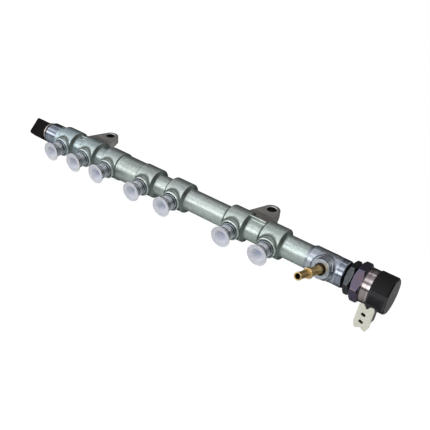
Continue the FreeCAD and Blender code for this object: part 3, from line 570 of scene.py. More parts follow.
def mesh_of(name: str, loops: np.ndarray, closed: Side = Side.NONE, sharp: float = SHARP,
            joined: bool = False) -> Mesh:
    """Makes a mesh from rings of points.

    Args:
        name: Mesh name.
        loops: Array (rings, points, 3) in millimetres, rail axis on X.
        closed: Which end rings get a flat face.
        sharp: Edges turning by more degrees than this stay sharp.
        joined: Whether the last ring joins the first.

    Returns:
        The mesh, in metres in the row frame.
    """
    rings, count = loops.shape[:2]
    points = (loops.reshape(-1, 3) + ROW_SHIFT) * MM
    i = np.arange(rings if joined else rings - 1)[:, None]
    j = np.arange(count)[None, :]
    next_i, next_j = (i + 1) % rings, (j + 1) % count
    corners = (i * count + j, i * count + next_j, next_i * count + next_j, next_i * count + j)
    faces = np.stack(corners, -1).reshape(-1, 4).tolist()
    if closed in (Side.START, Side.BOTH):
        faces.append(list(range(count))[::-1])
    if closed in (Side.END, Side.BOTH):
        faces.append(list(range((rings - 1) * count, rings * count)))
    mesh = bpy.data.meshes.new(name)
    mesh.from_pydata(points.tolist(), [], faces)
    tidy = bmesh.new()
    tidy.from_mesh(mesh)
    bmesh.ops.remove_doubles(tidy, verts=tidy.verts, dist=1e-7)
    bmesh.ops.recalc_face_normals(tidy, faces=tidy.faces)
    tidy.to_mesh(mesh)
    tidy.free()
    return smooth_shaded(mesh, sharp)


def turned_mesh(name: str, points: Points, axis: Axis, segments: int = 96, steps: int = 4) -> Mesh:
    """Makes a closed turned mesh; a profile that ends at radius 0 is closed flat there.

    Args:
        name: Mesh name.
        points: (along, radius, corner radius) for each corner.
        axis: The axis.
        segments: Points in each ring.
        steps: Chords in each rounded corner.

    Returns:
        The mesh.
    """
    core = [p for p in points if p[1] > 0]
    closed = Side((points[0][1] == 0) * Side.START.value + (points[-1][1] == 0) * Side.END.value)
    joined = closed is Side.NONE
    profile = rounded(core + core[:1], steps)[:-1] if joined else rounded(core, steps)
    angle = np.linspace(0, 2 * math.pi, segments, endpoint=False)
    return mesh_of(name, axis.around(profile[:, :1], profile[:, 1:], angle), closed, joined=joined)


@dataclass(frozen=True)
class Hexagon:
    """A hexagon nut with turned chamfers, softened corners and a bore.

    Attributes:
        length: Its length.
        corner: Radius to the corners.
        chamfer: How far the chamfer cone cuts in from the corners.
        bore: Bore radius.
        turn: Turn about the axis in degrees.
        soft: How much is taken off the corners.
        mouth: Size of the bore's chamfer.
    """

    length: float
    corner: float
    chamfer: float
    bore: float
    turn: float
    soft: float = 0.14
    mouth: float = 0.4

    def mesh(self, name: str, axis: Axis, start: float) -> Mesh:
        """Makes the nut.

        Args:
            name: Mesh name.
            axis: Its axis.
            start: Where it starts along the axis.

        Returns:
            The mesh.
        """
        slope = math.tan(CHAMFER)
        flats = self.corner * math.cos(math.pi / 6)
        angle = np.linspace(0, 2 * math.pi, 6 * FLAT_POINTS, endpoint=False)
        from_flat = np.radians(np.degrees(angle) % 60 - 30)
        outline = np.minimum(flats / np.cos(from_flat), self.corner - self.soft)
        near = np.array([0.0, 0.12, *np.linspace(0.25, self.chamfer * slope * 1.25, 9)])
        along = np.concatenate([near, self.length - near[::-1]])
        cone = np.minimum(along, self.length - along) / slope + self.corner - self.chamfer
        inner = np.array([
            (self.length, self.bore + self.mouth), (self.length - self.mouth, self.bore),
            (self.mouth, self.bore), (0.0, self.bore + self.mouth)])
        angle = angle + math.radians(self.turn)
        outside = axis.around(start + along[:, None], np.minimum(outline, cone[:, None]), angle)
        inside = axis.around(start + inner[:, :1], inner[:, 1:], angle)
        return mesh_of(name, np.concatenate([outside, inside]), sharp=22.0, joined=True)


def placed(name: str, data: bpy.types.ID) -> Object:
    """Makes an object and puts it into the scene.

    Args:
        name: Object name.
        data: Its mesh, curve or camera.

    Returns:
        The object.
    """
    made = bpy.data.objects.new(name, data)
    bpy.context.scene.collection.objects.link(made)
    return made


def evaluated(holder: Object) -> Mesh:
    """Turns an object with its modifiers into a plain mesh, and removes it.

    Args:
        holder: The object.

    Returns:
        The mesh.
    """
    graph = bpy.context.evaluated_depsgraph_get()
    mesh = bpy.data.meshes.new_from_object(holder.evaluated_get(graph))
    bpy.data.objects.remove(holder)
    return mesh


class OutletTree:
    """A Geometry Nodes tree that puts a shape at every outlet."""

    def __init__(self, name: str, inputs: dict[str, str]) -> None:
        """Starts the tree.

        Args:
            name: Its name.
            inputs: Types of its own inputs, by name.
        """
        self.tree = bpy.data.node_groups.new(name, "GeometryNodeTree")
        sockets(self.tree, "INPUT", {
            "Places": "NodeSocketGeometry", "Material": "NodeSocketMaterial", **inputs})
        sockets(self.tree, "OUTPUT", {"Geometry": "NodeSocketGeometry"})
        self.inputs = self.tree.nodes.new("NodeGroupInput").outputs

    def repeat(self, shape: Socket, turn: float = 0.0) -> None:
        """Ends the tree with real, painted copies of a shape.

        Args:
            shape: The shape to repeat.
            turn: Its turn about X in radians.
        """
        copies = add_node(self.tree, "GeometryNodeInstanceOnPoints", {
            "Points": self.inputs["Places"], "Instance": shape, "Rotation": (turn, 0.0, 0.0)})
        real = add_node(self.tree, "GeometryNodeRealizeInstances", {
            "Geometry": copies.outputs["Instances"]})
        painted = add_node(self.tree, "GeometryNodeSetMaterial", {
            "Geometry": real.outputs["Geometry"], "Material": self.inputs["Material"]})
        add_node(self.tree, "NodeGroupOutput", {"Geometry": painted.outputs["Geometry"]})

    def bake(self, name: str, out: float, sharp: float, **values: object) -> Mesh:
        """Runs the tree and gives the result as a plain mesh.

        Args:
            name: Mesh name.
            out: How far from the rail's axis the places lie.
            sharp: Edges turning by more degrees than this stay sharp.
            values: The tree's inputs.

        Returns:
            The mesh.
        """
        points = bpy.data.meshes.new(name + "_places")
        points.from_pydata([(np.array([x, -out, 0.0]) + ROW_SHIFT) * MM for x in OUTLET_X], [], [])
        maker = placed(name + "_maker", points)
        modifier = maker.modifiers.new("repeat", "NODES")
        modifier.node_group = self.tree
        for item in self.tree.interface.items_tree:
            if item.name in values:
                modifier[item.identifier] = values[item.name]
        mesh = evaluated(maker)
        mesh.name = name
        return smooth_shaded(mesh, sharp)


def copies_tree() -> OutletTree:
    """Builds the tree that repeats the shape of one object.

    Returns:
        A tree with the input Shape.
    """
    made = OutletTree("copies_at_outlets", {"Shape": "NodeSocketObject"})
    shape = add_node(made.tree, "GeometryNodeObjectInfo", {"Object": made.inputs["Shape"]})
    made.repeat(shape.outputs["Geometry"])
    return made


def thread_tree() -> OutletTree:
    """Builds the tree that winds a threaded ridge round every outlet, running outward.

    Returns:
        A tree with the inputs Turns, Length, Radius and Ridge.
    """
    made = OutletTree("outlet_threads", dict.fromkeys(
        ("Turns", "Length", "Radius", "Ridge"), "NodeSocketFloat"))
    spiral = add_node(made.tree, "GeometryNodeCurveSpiral", {
        "Rotations": made.inputs["Turns"], "Height": made.inputs["Length"], "Resolution": 48,
        "Start Radius": made.inputs["Radius"], "End Radius": made.inputs["Radius"]})
    ridge = add_node(made.tree, "GeometryNodeCurvePrimitiveCircle", {
        "Radius": made.inputs["Ridge"], "Resolution": 6})
    swept = add_node(made.tree, "GeometryNodeCurveToMesh", {
        "Curve": spiral.outputs["Curve"], "Profile Curve": ridge.outputs["Curve"], "Fill Caps": True})
    made.repeat(swept.outputs["Mesh"], math.pi / 2)
    return made


@dataclass
class Assembly:
    """Puts pieces into the scene, in their place, with their finish and their CAD nodes.

    Attributes:
        paint: Where materials come from.
    """

    paint: Paintbox

    def add(self, name: str, mesh: Mesh, finish: Finish, *nodes: str) -> Object:
        """Adds one piece.

        Args:
            name: Piece name.
            mesh: Its mesh, already in place.
            finish: Its surface.
            nodes: CAD nodes that it stands for.

        Returns:
            The piece's object.
        """
        piece = placed(name, mesh)
        mesh.materials.clear()
        mesh.materials.append(self.paint.material(finish))
        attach(piece, "root")
        if nodes:
            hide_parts(*nodes)
        LOG.info("%s: %d faces, %s", name, len(mesh.polygons), finish.name)
        return piece

    def turned(self, name: str, points: Points, start: float, finish: Finish, *nodes: str,
               segments: int = 96) -> Object:
        """Adds a piece turned about the rail's axis, whose profile starts at a place along it."""
        axis = Axis(start * ALONG, ALONG)
        return self.add(name, turned_mesh(name, points, axis, segments), finish, *nodes)

    def ring(self, name: str, length: float, radii: Point, start: float, *nodes: str) -> Object:
        """Adds a rubber ring on the rail's axis.

        Args:
            name: Piece name.
            length: Its length, less than 0 where it runs toward -X.
            radii: Inner radius, outer radius and radius of the outer edges.
            start: Where it starts along the rail.
            nodes: CAD nodes that it stands for.

        Returns:
            The piece's object.
        """
        inner, outer, edge = radii
        profile = [(0, inner, 0), (0, outer, edge), (length, outer, edge), (length, inner, 0)]
        return self.turned(name, profile, start, RUBBER, *nodes)

    def dress(self, piece: Object, finish: Finish,
              where: Callable[[float, float, float], bool]) -> None:
        """Gives some faces of a piece another finish.

        Args:
            piece: The piece.
            finish: The other finish.
            where: Tells from a face's middle, in millimetres with the rail axis on X, if it takes it.
        """
        piece.data.materials.append(self.paint.material(finish))
        for face in piece.data.polygons:
            x, y, z = face.center / MM
            if where(x, y - ROW_SHIFT[1], z):
                face.material_index = len(piece.data.materials) - 1

    def repaint(self, finish: Finish, *nodes: str) -> None:
        """Gives CAD nodes that stay a procedural finish.

        Args:
            finish: The finish.
            *nodes: Names of the nodes.
        """
        for node in nodes:
            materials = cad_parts[node].data.materials
            materials.clear()
            materials.append(self.paint.material(finish))

    def copies(self, name: str, mesh: Mesh, finish: Finish, *nodes: str) -> Object:
        """Adds a piece that repeats a mesh made round the rail's middle at every outlet.

        Args:
            name: Piece name.
            mesh: The shape, in the row frame.
            finish: Its surface.
            nodes: CAD nodes that it stands for.

        Returns:
            The piece's object, with seven copies.
        """
        mesh.transform(Matrix.Translation(-Vector(ROW_SHIFT) * MM))
        shape = placed(name + "_shape", mesh)
        result = copies_tree().bake(name, 0.0, SHARP, Shape=shape, Material=self.paint.material(finish))
        bpy.data.objects.remove(shape)
        return self.add(name, result, finish, *nodes)


@dataclass
class RailForging(Assembly):
    """The forged tube with its bands, outlet stubs, lugs and return pad.

    Attributes:
        left_end: Profile of the left end, from LEFT_END.
        right_end: Profile of the right end, from RIGHT_END.
        joined_after: Number of the band after which the tube is as wide as joined_r.
        flank_slope: Run of a band's flank for each millimetre that it rises.
        flank_shade: Where a flank's painted shade starts, the share of its run that it takes, and
        the least that it takes.
        fine_reach: How far from a stub's axis rings lie close together.
        fine_from: From where they do so by the pad.
        front_turn: Degrees to either side of the outlets in which points lie closer together.
        left_turned: Length of the bright left end.
        right_machined: Length of the machined right end.
        right_bright: Length of its bright end.
        pad_zone: How far along the rail the pad's fillet may reach from its axis.
        root_outline: A lug root's (y, z, corner radius) outline behind the rail's axis; the third
            corner is at the bands' crest.
        root_ends: (x, scale) of a lug root's rings.
    """

    left_end: Points = (
        (0.0, 8.0, 0), (0.0, 10.7, 0), (0.5, 11.2, 0.3), (12.8, 11.2, 0.05), (12.9, 10.85, 0.05),
        (14.3, 11.0, 0.4))
    right_end: Points = (
        (-33.5, 10.2, 1.6), (-30.5, 11.7, 1.4), (-10.75, 11.7, 0.05), (-10.65, 11.5, 0.05),
        (-0.5, 11.5, 0.3), (0.0, 11.0, 0), (0.0, 9.0, 0))
    left_r: float = 11.0
    tube_r: float = 10.2
    joined_r: float = 12.9
    joined_after: int = 2
    band_r: float = 13.9
    band_half: float = 9.0
    flank_slope: float = 0.68
    flank_shade: Point = (0.2, 0.85, 1.7)
    fine_reach: float = 14.0
    fine_from: float = 156.0
    fine_step: float = 0.55
    coarse_step: float = 2.5
    front_turn: float = 75.0
    front_count: int = 96
    back_count: int = 64
    left_turned: float = 12.8
    right_machined: float = 32.5
    right_bright: float = 6.0
    collar_r: float = 9.3
    collar_top: float = 15.5
    groove_r: float = 8.2
    groove_depth: float = 0.9
    shoulder_r: float = 7.3
    shoulder_top: float = 16.6
    fillet_r: float = 1.3
    stub_foot: float = 9.0
    stub_top: float = 26.4
    seat_r: float = 5.1
    seat_floor: float = 19.73
    throttle_r: float = 1.25
    thread_r: float = 7.0
    thread_pitch: float = 1.5
    thread_depth: float = 0.5
    ridge_r: float = 0.46
    pad_r: float = 8.2
    pad_top: float = 16.0
    pad_bore_r: float = 3.5
    pad_fillet_r: float = 2.2
    pad_zone: float = 13.0
    recess_r: float = 4.65
    recess_depth: float = 2.2
    lug_y: float = 28.0
    lug_thickness: float = 8.0
    lug_eye_r: float = 7.8
    lug_hole_r: float = 4.3
    lug_hole_edge: float = 0.45
    lug_edge_r: float = 0.9
    root_outline: Points = (
        (-3.2, 9.2, 0), (-0.9, 10.5, 1.4), (-0.8, 14.35, 1.5), (4.4, 9.3, 1.5), (17.0, 8.05, 0.6),
        (17.0, 7.0, 0.3), (9.0, 4.0, 0.3), (0.0, 4.0, 0.3))
    root_ends: tuple[tuple[float, float], ...] = (
        (-11.6, 0.90), (-11.2, 0.97), (-10.4, 1.0), (10.4, 1.0), (11.2, 0.97), (11.6, 0.90))

    def bands(self) -> list[Point]:
        """Gives the middle of every band, and the tube's radius before and after it."""
        after = [self.joined_r if k == self.joined_after else self.tube_r for k in range(len(OUTLET_X))]
        return list(zip(OUTLET_X, [self.left_r, *after[:-1]], after))

    @staticmethod
    def near_stub(x: float, z: float) -> float:
        """Gives the distance from the axis of the nearest stub."""
        return min(math.hypot(x - middle, z) for middle in OUTLET_X)

    def in_flank_shade(self, x: float, y: float, z: float) -> bool:
        """Tells if a place on the tube is painted dark as shade, on a band's flank or in a stub's
        fillet.

        Args:
            x: Place along the rail.
            y: Place across the rail.
            z: Height over the rail's axis.

        Returns:
            True on a flank or a fillet.
        """
        start, share, least = self.flank_shade
        on_flank = False
        for middle, before, after in self.bands():
            rise = self.band_r - (before if x < middle else after)
            end = max(self.flank_slope * rise * share, least)
            on_flank = on_flank or start < abs(x - middle) - self.band_half < end
        in_fillet = y < 0 and self.near_stub(x, z) < self.collar_r + self.fillet_r + 0.3
        return on_flank or in_fillet

    def in_groove_shade(self, x: float, y: float, z: float) -> bool:
        """Tells if a place on a stub is painted dark as shade, in its collar's groove or at the foot of
        its thread.

        Args:
            x: Place along the rail.
            y: Place across the rail.
            z: Height over the rail's axis.

        Returns:
            True in the groove or the thread.
        """
        away = self.near_stub(x, z)
        in_groove = -y < self.collar_top - 0.05 and away < self.groove_r + 0.05
        return in_groove or (-y > self.shoulder_top + 0.1 and away < self.thread_r - 0.4)

    def outline(self) -> np.ndarray:
        """Gives the outer profile of the tube.

        Returns:
            Its (x, radius) points from the left end to the right end.
        """
        points = [(LEFT_END + x, radius, corner) for x, radius, corner in self.left_end]
        for x, before, after in self.bands():
            for side, radius in ((-1, before), (1, after)):
                rise = self.band_r - radius
                foot = (x + side * (self.band_half + self.flank_slope * rise), radius, min(2.0, rise))
                crest = (x + side * self.band_half, self.band_r, min(1.3, rise * 0.5))
                points += [foot, crest] if side < 0 else [crest, foot]
        points += [(RIGHT_END + x, radius, corner) for x, radius, corner in self.right_end]
        return rounded(points, 5)

    def stations(self) -> np.ndarray:
        """Gives the outline with rings added, close together by the stubs and the pad.

        Returns:
            (x, radius) of every ring.
        """
        outline = self.outline()
        rings = [outline[:1]]
        for a, b in zip(outline[:-1], outline[1:]):
            near_stub = any(abs((a[0] + b[0]) / 2 - x) < self.fine_reach for x in OUTLET_X)
            step = self.fine_step if near_stub or a[0] > self.fine_from else self.coarse_step
            steps = max(1, math.ceil((b[0] - a[0]) / step))
            rings.append(a + (b - a) * (np.arange(1, steps + 1) / steps)[:, None])
        return np.concatenate(rings)

    @staticmethod
    def fillet(distance: np.ndarray, radius: float, size: float) -> np.ndarray:
        """Gives a fillet's height at distances from the axis of a stub of some radius."""
        t = np.clip((distance - radius) / size, 0, 1)
        return size * (1 - np.sqrt(np.clip(1 - (1 - t) ** 2, 0, 1)))

    def barrel(self) -> Mesh:
        """Makes the tube and bands, with fillets round every stub and the pad.

        Returns:
            The mesh.
        """
        profile = self.stations()
        turn = self.front_turn
        angle = np.radians(np.concatenate([
            np.linspace(-turn, turn, self.front_count, endpoint=False),
            np.linspace(turn, 360 - turn, self.back_count, endpoint=False)]))
        x, radius = (np.repeat(profile[:, k:k + 1], len(angle), 1) for k in (0, 1))
        out_y, out_z = -np.cos(angle), np.sin(angle)
        facing = np.clip(-out_y, 0, 1)
        height = np.zeros_like(radius)
        for centre in OUTLET_X:
            distance = np.hypot(x - centre, radius * out_z)
            lift = self.fillet(distance, self.collar_r - 0.2, self.fillet_r) * facing
            height = np.maximum(height, np.where(facing > 0.15, lift, 0))
        reach, distance = PORT.measured(np.stack([x, radius * out_y, radius * out_z], -1))
        toward = np.clip(out_y * PORT.direction[1] + out_z * PORT.direction[2], 0, 1)
        lift = self.fillet(distance, self.pad_r + 0.8, self.pad_fillet_r) * np.clip(toward * 1.2, 0, 1)
        in_zone = (reach > 2) & (np.abs(x - PORT_X) < self.pad_zone)
        height = np.maximum(height, np.where(in_zone, lift, 0))
        total = radius + height
        return mesh_of("rail_barrel", np.stack([x, total * out_y, total * out_z], -1))

    def stub(self) -> Mesh:
        """Makes one outlet stub at the middle of the rail: collar, shoulder, core and cone seat.

        Returns:
            The mesh.
        """
        foot, collar, shoulder, top = self.stub_foot, self.collar_top, self.shoulder_top, self.stub_top
        core, floor = self.thread_r - self.thread_depth, collar - self.groove_depth
        return turned_mesh("outlet_stub", [
            (foot, self.throttle_r, 0), (foot, self.collar_r - 0.05, 0),
            (collar - 0.6, self.collar_r, 0.15), (collar, self.groove_r + 0.2, 0.1),
            (collar, self.groove_r, 0), (floor, self.groove_r - 0.1, 0.1),
            (floor, self.shoulder_r, 0.1), (shoulder, self.shoulder_r, 0.3), (shoulder, core, 0.1),
            (top - 0.4, core, 0.1), (top, core - 0.3, 0.1), (top, self.seat_r, 0),
            (self.seat_floor, self.throttle_r, 0.2)], OUTLET, 80, 3)

    def threads(self) -> Mesh:
        """Makes the helical ridges of all seven stubs.

        Returns:
            The mesh.
        """
        start, end = self.shoulder_top + 0.5, self.stub_top - 0.75
        return thread_tree().bake(
            "outlet_threads", start, 60.0, Turns=(end - start) / self.thread_pitch,
            Length=(end - start) * MM, Radius=(self.thread_r - self.thread_depth - 0.02) * MM,
            Ridge=self.ridge_r * MM, Material=self.paint.material(THREAD))

    def lug_outline(self, count: int) -> np.ndarray:
        """Gives evenly spaced points round the outline of a lug at x = 0, seen from above.

        Args:
            count: How many points.

        Returns:
            Array (count, 2).
        """
        foot, waist, root = np.array([(18.0, 2.0), (17.4, 6.0), (15.0, 9.6)])
        bow = np.array([0.9, 0.0])
        t = np.linspace(0, 1, 4)[:, None]
        side = foot + (waist - foot) * t
        t = np.linspace(0.15, 1, 6)[:, None]
        hollow = waist + (root - waist) * t - bow * t * (1 - t)
        reach = math.hypot(root[0], self.lug_y - root[1])
        lean = math.atan2(self.lug_y - root[1], root[0]) + math.asin(self.lug_eye_r / reach)
        turn = np.linspace(math.pi / 2 - lean, math.pi / 2, 15)
        eye = np.column_stack([np.cos(turn), np.sin(turn)]) * self.lug_eye_r + (0.0, self.lug_y)
        right = np.concatenate([side, hollow, eye])
        full = np.concatenate([right, right[-2::-1] * (-1, 1), right[:1]])
        place = np.concatenate([[0], np.cumsum(np.linalg.norm(np.diff(full, axis=0), axis=1))])
        sample = np.linspace(0, place[-1], count, endpoint=False)
        return np.stack([np.interp(sample, place, full[:, k]) for k in (0, 1)], -1)

    def lug(self, x: float) -> Mesh:
        """Makes one flat lug from rings of points round its hole, out to its rounded outline.

        Args:
            x: Place of the lug's hole along the rail.

        Returns:
            The lug.
        """
        spoke = self.lug_outline(120) - (0.0, self.lug_y)
        length = np.linalg.norm(spoke, axis=1)[:, None]
        unit = spoke / length
        top, r, rim, edge = self.lug_thickness, self.lug_edge_r, self.lug_hole_r, self.lug_hole_edge
        turn = np.radians(np.linspace(0, 90, 6))
        distances = [(rim, edge), (rim, top - edge), (rim + edge, top), (rim + 1.6, top)]
        distances += [(length - r * (1 - math.sin(a)), top - r * (1 - math.cos(a))) for a in turn]
        distances += [(length - r * (1 - math.cos(a)), r * (1 - math.sin(a))) for a in turn]
        distances += [(rim + 1.6, 0.0), (rim + edge, 0.0)]
        rings = stacked((z, unit * away + (x, self.lug_y)) for away, z in distances)
        return mesh_of("lug_mesh", rings, joined=True)

    def pad(self) -> Mesh:
        """Makes the return port's pad with its recess.

        Returns:
            The mesh.
        """
        r, top, recess, bore = self.pad_r, self.pad_top, self.recess_r, self.pad_bore_r
        floor = top - self.recess_depth
        return turned_mesh("pad_mesh", [
            (4.0, bore, 0), (4.0, 10.2, 0), (8.0, 10.6, 0.6), (14.4, r, 2.2), (top - 0.4, r, 0.2),
            (top, r - 0.4, 0.15), (top, recess + 0.45, 0.1), (top - 0.45, recess, 0.1),
            (floor, recess, 0.1), (floor, bore, 0)], PORT)

    def build(self) -> None:
        """Adds the forging's pieces."""
        barrel = self.add("rail_barrel", self.barrel(), ZINC, "rail_body")
        left, bright = LEFT_END + self.left_turned, RIGHT_END - self.right_bright
        machined = RIGHT_END - self.right_machined
        # Painted shade: the bands' flanks and the stubs' fillets take darker zinc.
        self.dress(barrel, FLANK_SHADE, self.in_flank_shade)
        self.dress(barrel, MACHINED, lambda x, y, z: machined < x <= bright)
        self.dress(barrel, TURNED, lambda x, y, z: x < left or x > bright)
        hole = self.lug_hole_r + 0.1
        outline = round_closed(self.root_outline, 6)
        for index, centre in enumerate(LUG_X):
            lug = self.add(f"rail_lug_{index + 1}", self.lug(centre), LUG)
            # Painted shade: the walls of the lug's hole.
            self.dress(lug, BORE_SHADE, lambda x, y, z: math.hypot(x - centre, y - self.lug_y) < hole)
            rings = soft_bar(outline, self.root_ends) + centre * ALONG
            root = self.add(f"lug_root_{index + 1}", mesh_of("lug_root", rings, Side.BOTH), LUG)
            self.dress(root, ZINC, lambda x, y, z: y < 2.0)
        pad = self.add("return_pad", self.pad(), MACHINED)
        mouth = PORT.base + PORT.direction * self.pad_top
        # Painted shade: the pad's recess.
        self.dress(pad, BORE_SHADE, lambda x, y, z: math.dist((x, y, z), mouth) < self.recess_r + 0.65)
        stubs = self.copies("outlet_stubs", self.stub(), THREAD)
        self.dress(stubs, ZINC, lambda x, y, z: -y < self.collar_top + 0.1)
        # Painted shade: the collar's groove and the thread's foot take the dark nut steel.
        self.dress(stubs, LOCK, self.in_groove_shade)
        self.add("outlet_threads", self.threads(), THREAD)


@dataclass
class TransitCaps(Assembly):
    """The seven milky caps in the outlets."""

    seat: float = 26.4
    flange_r: float = 9.35
    flange: float = 2.2
    mouth_r: float = 5.4
    plug: float = 5.2

    def build(self) -> None:
        """Adds the caps, one in each outlet."""
        face, tip, rim = self.seat + self.flange, self.seat - self.plug, self.flange_r
        cap = turned_mesh("cap", [
            (tip, 0, 0), (tip, 2.0, 0.5), (self.seat, 5.0, 0), (self.seat, 6.9, 0.3),
            (face - 1.2, 7.3, 0.4), (face - 0.8, rim, 0.3), (face, rim, 0.35), (face, rim - 0.8, 0.3),
            (face - 0.3, rim - 1.2, 0.4), (face - 0.5, self.mouth_r, 3.6), (tip + 0.9, 0.9, 0.6),
            (tip + 0.8, 0, 0)], OUTLET, 96, 6)
        nodes = [f"port_cap_{index + 1}" for index in range(len(OUTLET_X))]
        self.copies("transit_caps", cap, CAP, *nodes)


@dataclass
class PressureSensor(Assembly):
    """Steel ring, seal and black plug housing on the left end.

    Attributes:
        body: Profile of the steel ring, from LEFT_END.
        seal: Inner radius, outer radius and edge radius of the seal.
        base: Profile of the plug's round base, from LEFT_END.
        turn: Turn of the plug about the rail.
        offset: How far the plug's middle is off the rail's axis.
        plug_half: Half of the plug's width and half of its thickness.
        reach: How far the plug reaches from the rail's end.
        socket: Depth of the plug's socket.
    """

    body: Points = (
        (12.8, 1.6, 0), (12.8, 4.6, 0), (11.2, 7.9, 0), (0.6, 7.9, 0), (0.0, 7.6, 0), (-2.3, 7.6, 0.2),
        (-2.3, 9.05, 0.1), (-2.75, 9.5, 0.2), (-4.35, 9.5, 0.2), (-4.8, 9.05, 0.1), (-4.8, 7.2, 0),
        (-3.2, 7.2, 0), (-3.2, 1.6, 0))
    shadow: float = 2.75
    seal: Point = (7.6, 9.0, 0.5)
    seal_length: float = 2.3
    base: Points = ((-4.8, 0, 0), (-4.8, 8.9, 0.25), (-6.8, 8.9, 0.4), (-6.8, 0, 0))
    turn: float = math.radians(45.0)
    offset: float = 1.3
    plug_half: tuple[float, float] = (9.0, 5.5)
    reach: float = 25.1
    socket: float = 13.0

    def section(self, inset: tuple[float, float], radius: float) -> np.ndarray:
        """Gives a cross-section of the plug, a rounded rectangle turned about the rail axis.

        Args:
            inset: How much narrower and thinner it is on each side.
            radius: Corner radius.

        Returns:
            Array (points, 2) of y and z.
        """
        width, thickness = (half - less - radius for half, less in zip(self.plug_half, inset))
        rows = []
        for cx, cy, start in ((1, 1, 0), (-1, 1, 90), (-1, -1, 180), (1, -1, 270)):
            a = np.radians(np.linspace(start, start + 90, 16))
            rows.append(np.column_stack([
                cx * width + radius * np.cos(a) - self.offset, cy * thickness + radius * np.sin(a)]))
        c, s = math.cos(self.turn), math.sin(self.turn)
        return np.concatenate(rows) @ np.array([(c, s), (-s, c)])

    def housing(self) -> Mesh:
        """Makes the plug housing, from its base in to the floor of its socket.

        Returns:
            The mesh.
        """
        far = LEFT_END - self.reach
        sections = (
            (LEFT_END - 6.0, (0.0, 0.0), 2.3), (far + 0.5, (0.0, 0.0), 2.3),
            (far + 0.15, (0.15, 0.15), 2.2), (far, (0.45, 0.4), 2.0), (far, (1.2, 1.2), 0.8),
            (far + 0.3, (1.4, 1.4), 0.7), (far + self.socket, (1.45, 1.45), 0.7))
        rings = along_x((x, self.section(inset, radius)) for x, inset, radius in sections)
        return mesh_of("sensor_housing", rings, Side.BOTH)

    def build(self) -> None:
        """Adds the sensor's pieces."""
        ring = self.turned("sensor_ring", self.body, LEFT_END, SENSOR_STEEL, "sensor_body")
        # Painted shade: the ring's end by the rail takes near-black rubber for the dark gap there.
        self.dress(ring, RUBBER, lambda x, y, z: x > LEFT_END - self.shadow)
        self.ring("sensor_gasket", -self.seal_length, self.seal, LEFT_END, "sensor_seal")
        self.turned("sensor_plug_base", self.base, LEFT_END, PLUG)
        self.add("sensor_plug", self.housing(), PLUG, "sensor_connector")
        self.repaint(CONTACT, "sensor_pin_1", "sensor_pin_2", "sensor_pin_3")
        self.repaint(SENSOR_STEEL, "sensor_diaphragm")


@dataclass
class ReturnFitting(Assembly):
    """The brass hose nipple.

    Attributes:
        body: Profile of the nipple along the port's axis.
        hexagon: Its hexagon.
        hexagon_at: Where that starts along the port's axis.
        sunk: How far out along the axis the nipple is painted dark as the pad's shade.
    """

    body: Points = (
        (8.2, 1.2, 0), (8.2, 3.4, 0.3), (14.5, 3.4, 0), (14.5, 3.7, 0.1), (15.1, 3.7, 0.1),
        (15.1, 3.4, 0.15), (26.0, 3.4, 0.8), (28.0, 3.15, 0.8), (34.0, 3.15, 0), (36.6, 3.15, 0),
        (37.6, 2.95, 0.3), (49.6, 2.95, 0.3), (50.3, 3.25, 0.3), (52.0, 3.2, 0.5), (52.0, 2.4, 0.3),
        (51.5, 2.1, 0.2), (28.0, 2.1, 0), (28.0, 1.2, 0))
    hexagon: Hexagon = Hexagon(4.2, 4.8, 0.5, 2.9, 8.0)
    hexagon_at: float = 33.0
    sunk: float = 16.2

    def build(self) -> None:
        """Adds the nipple's turned body and its hexagon."""
        mesh = turned_mesh("nipple", self.body, PORT)
        nipple = self.add("return_nipple", mesh, BRASS, "return_fitting")
        # Painted shade: the nipple's foot down in the pad's recess.
        self.dress(nipple, BORE_SHADE, lambda *place: PORT.measured(np.array(place))[0] < self.sunk)
        self.add("return_nipple_hex", self.hexagon.mesh("nipple_hex", PORT, self.hexagon_at), BRASS)
        # Painted shade: the washer in the pad's recess is near-black.
        self.repaint(COPPER, "return_washer")


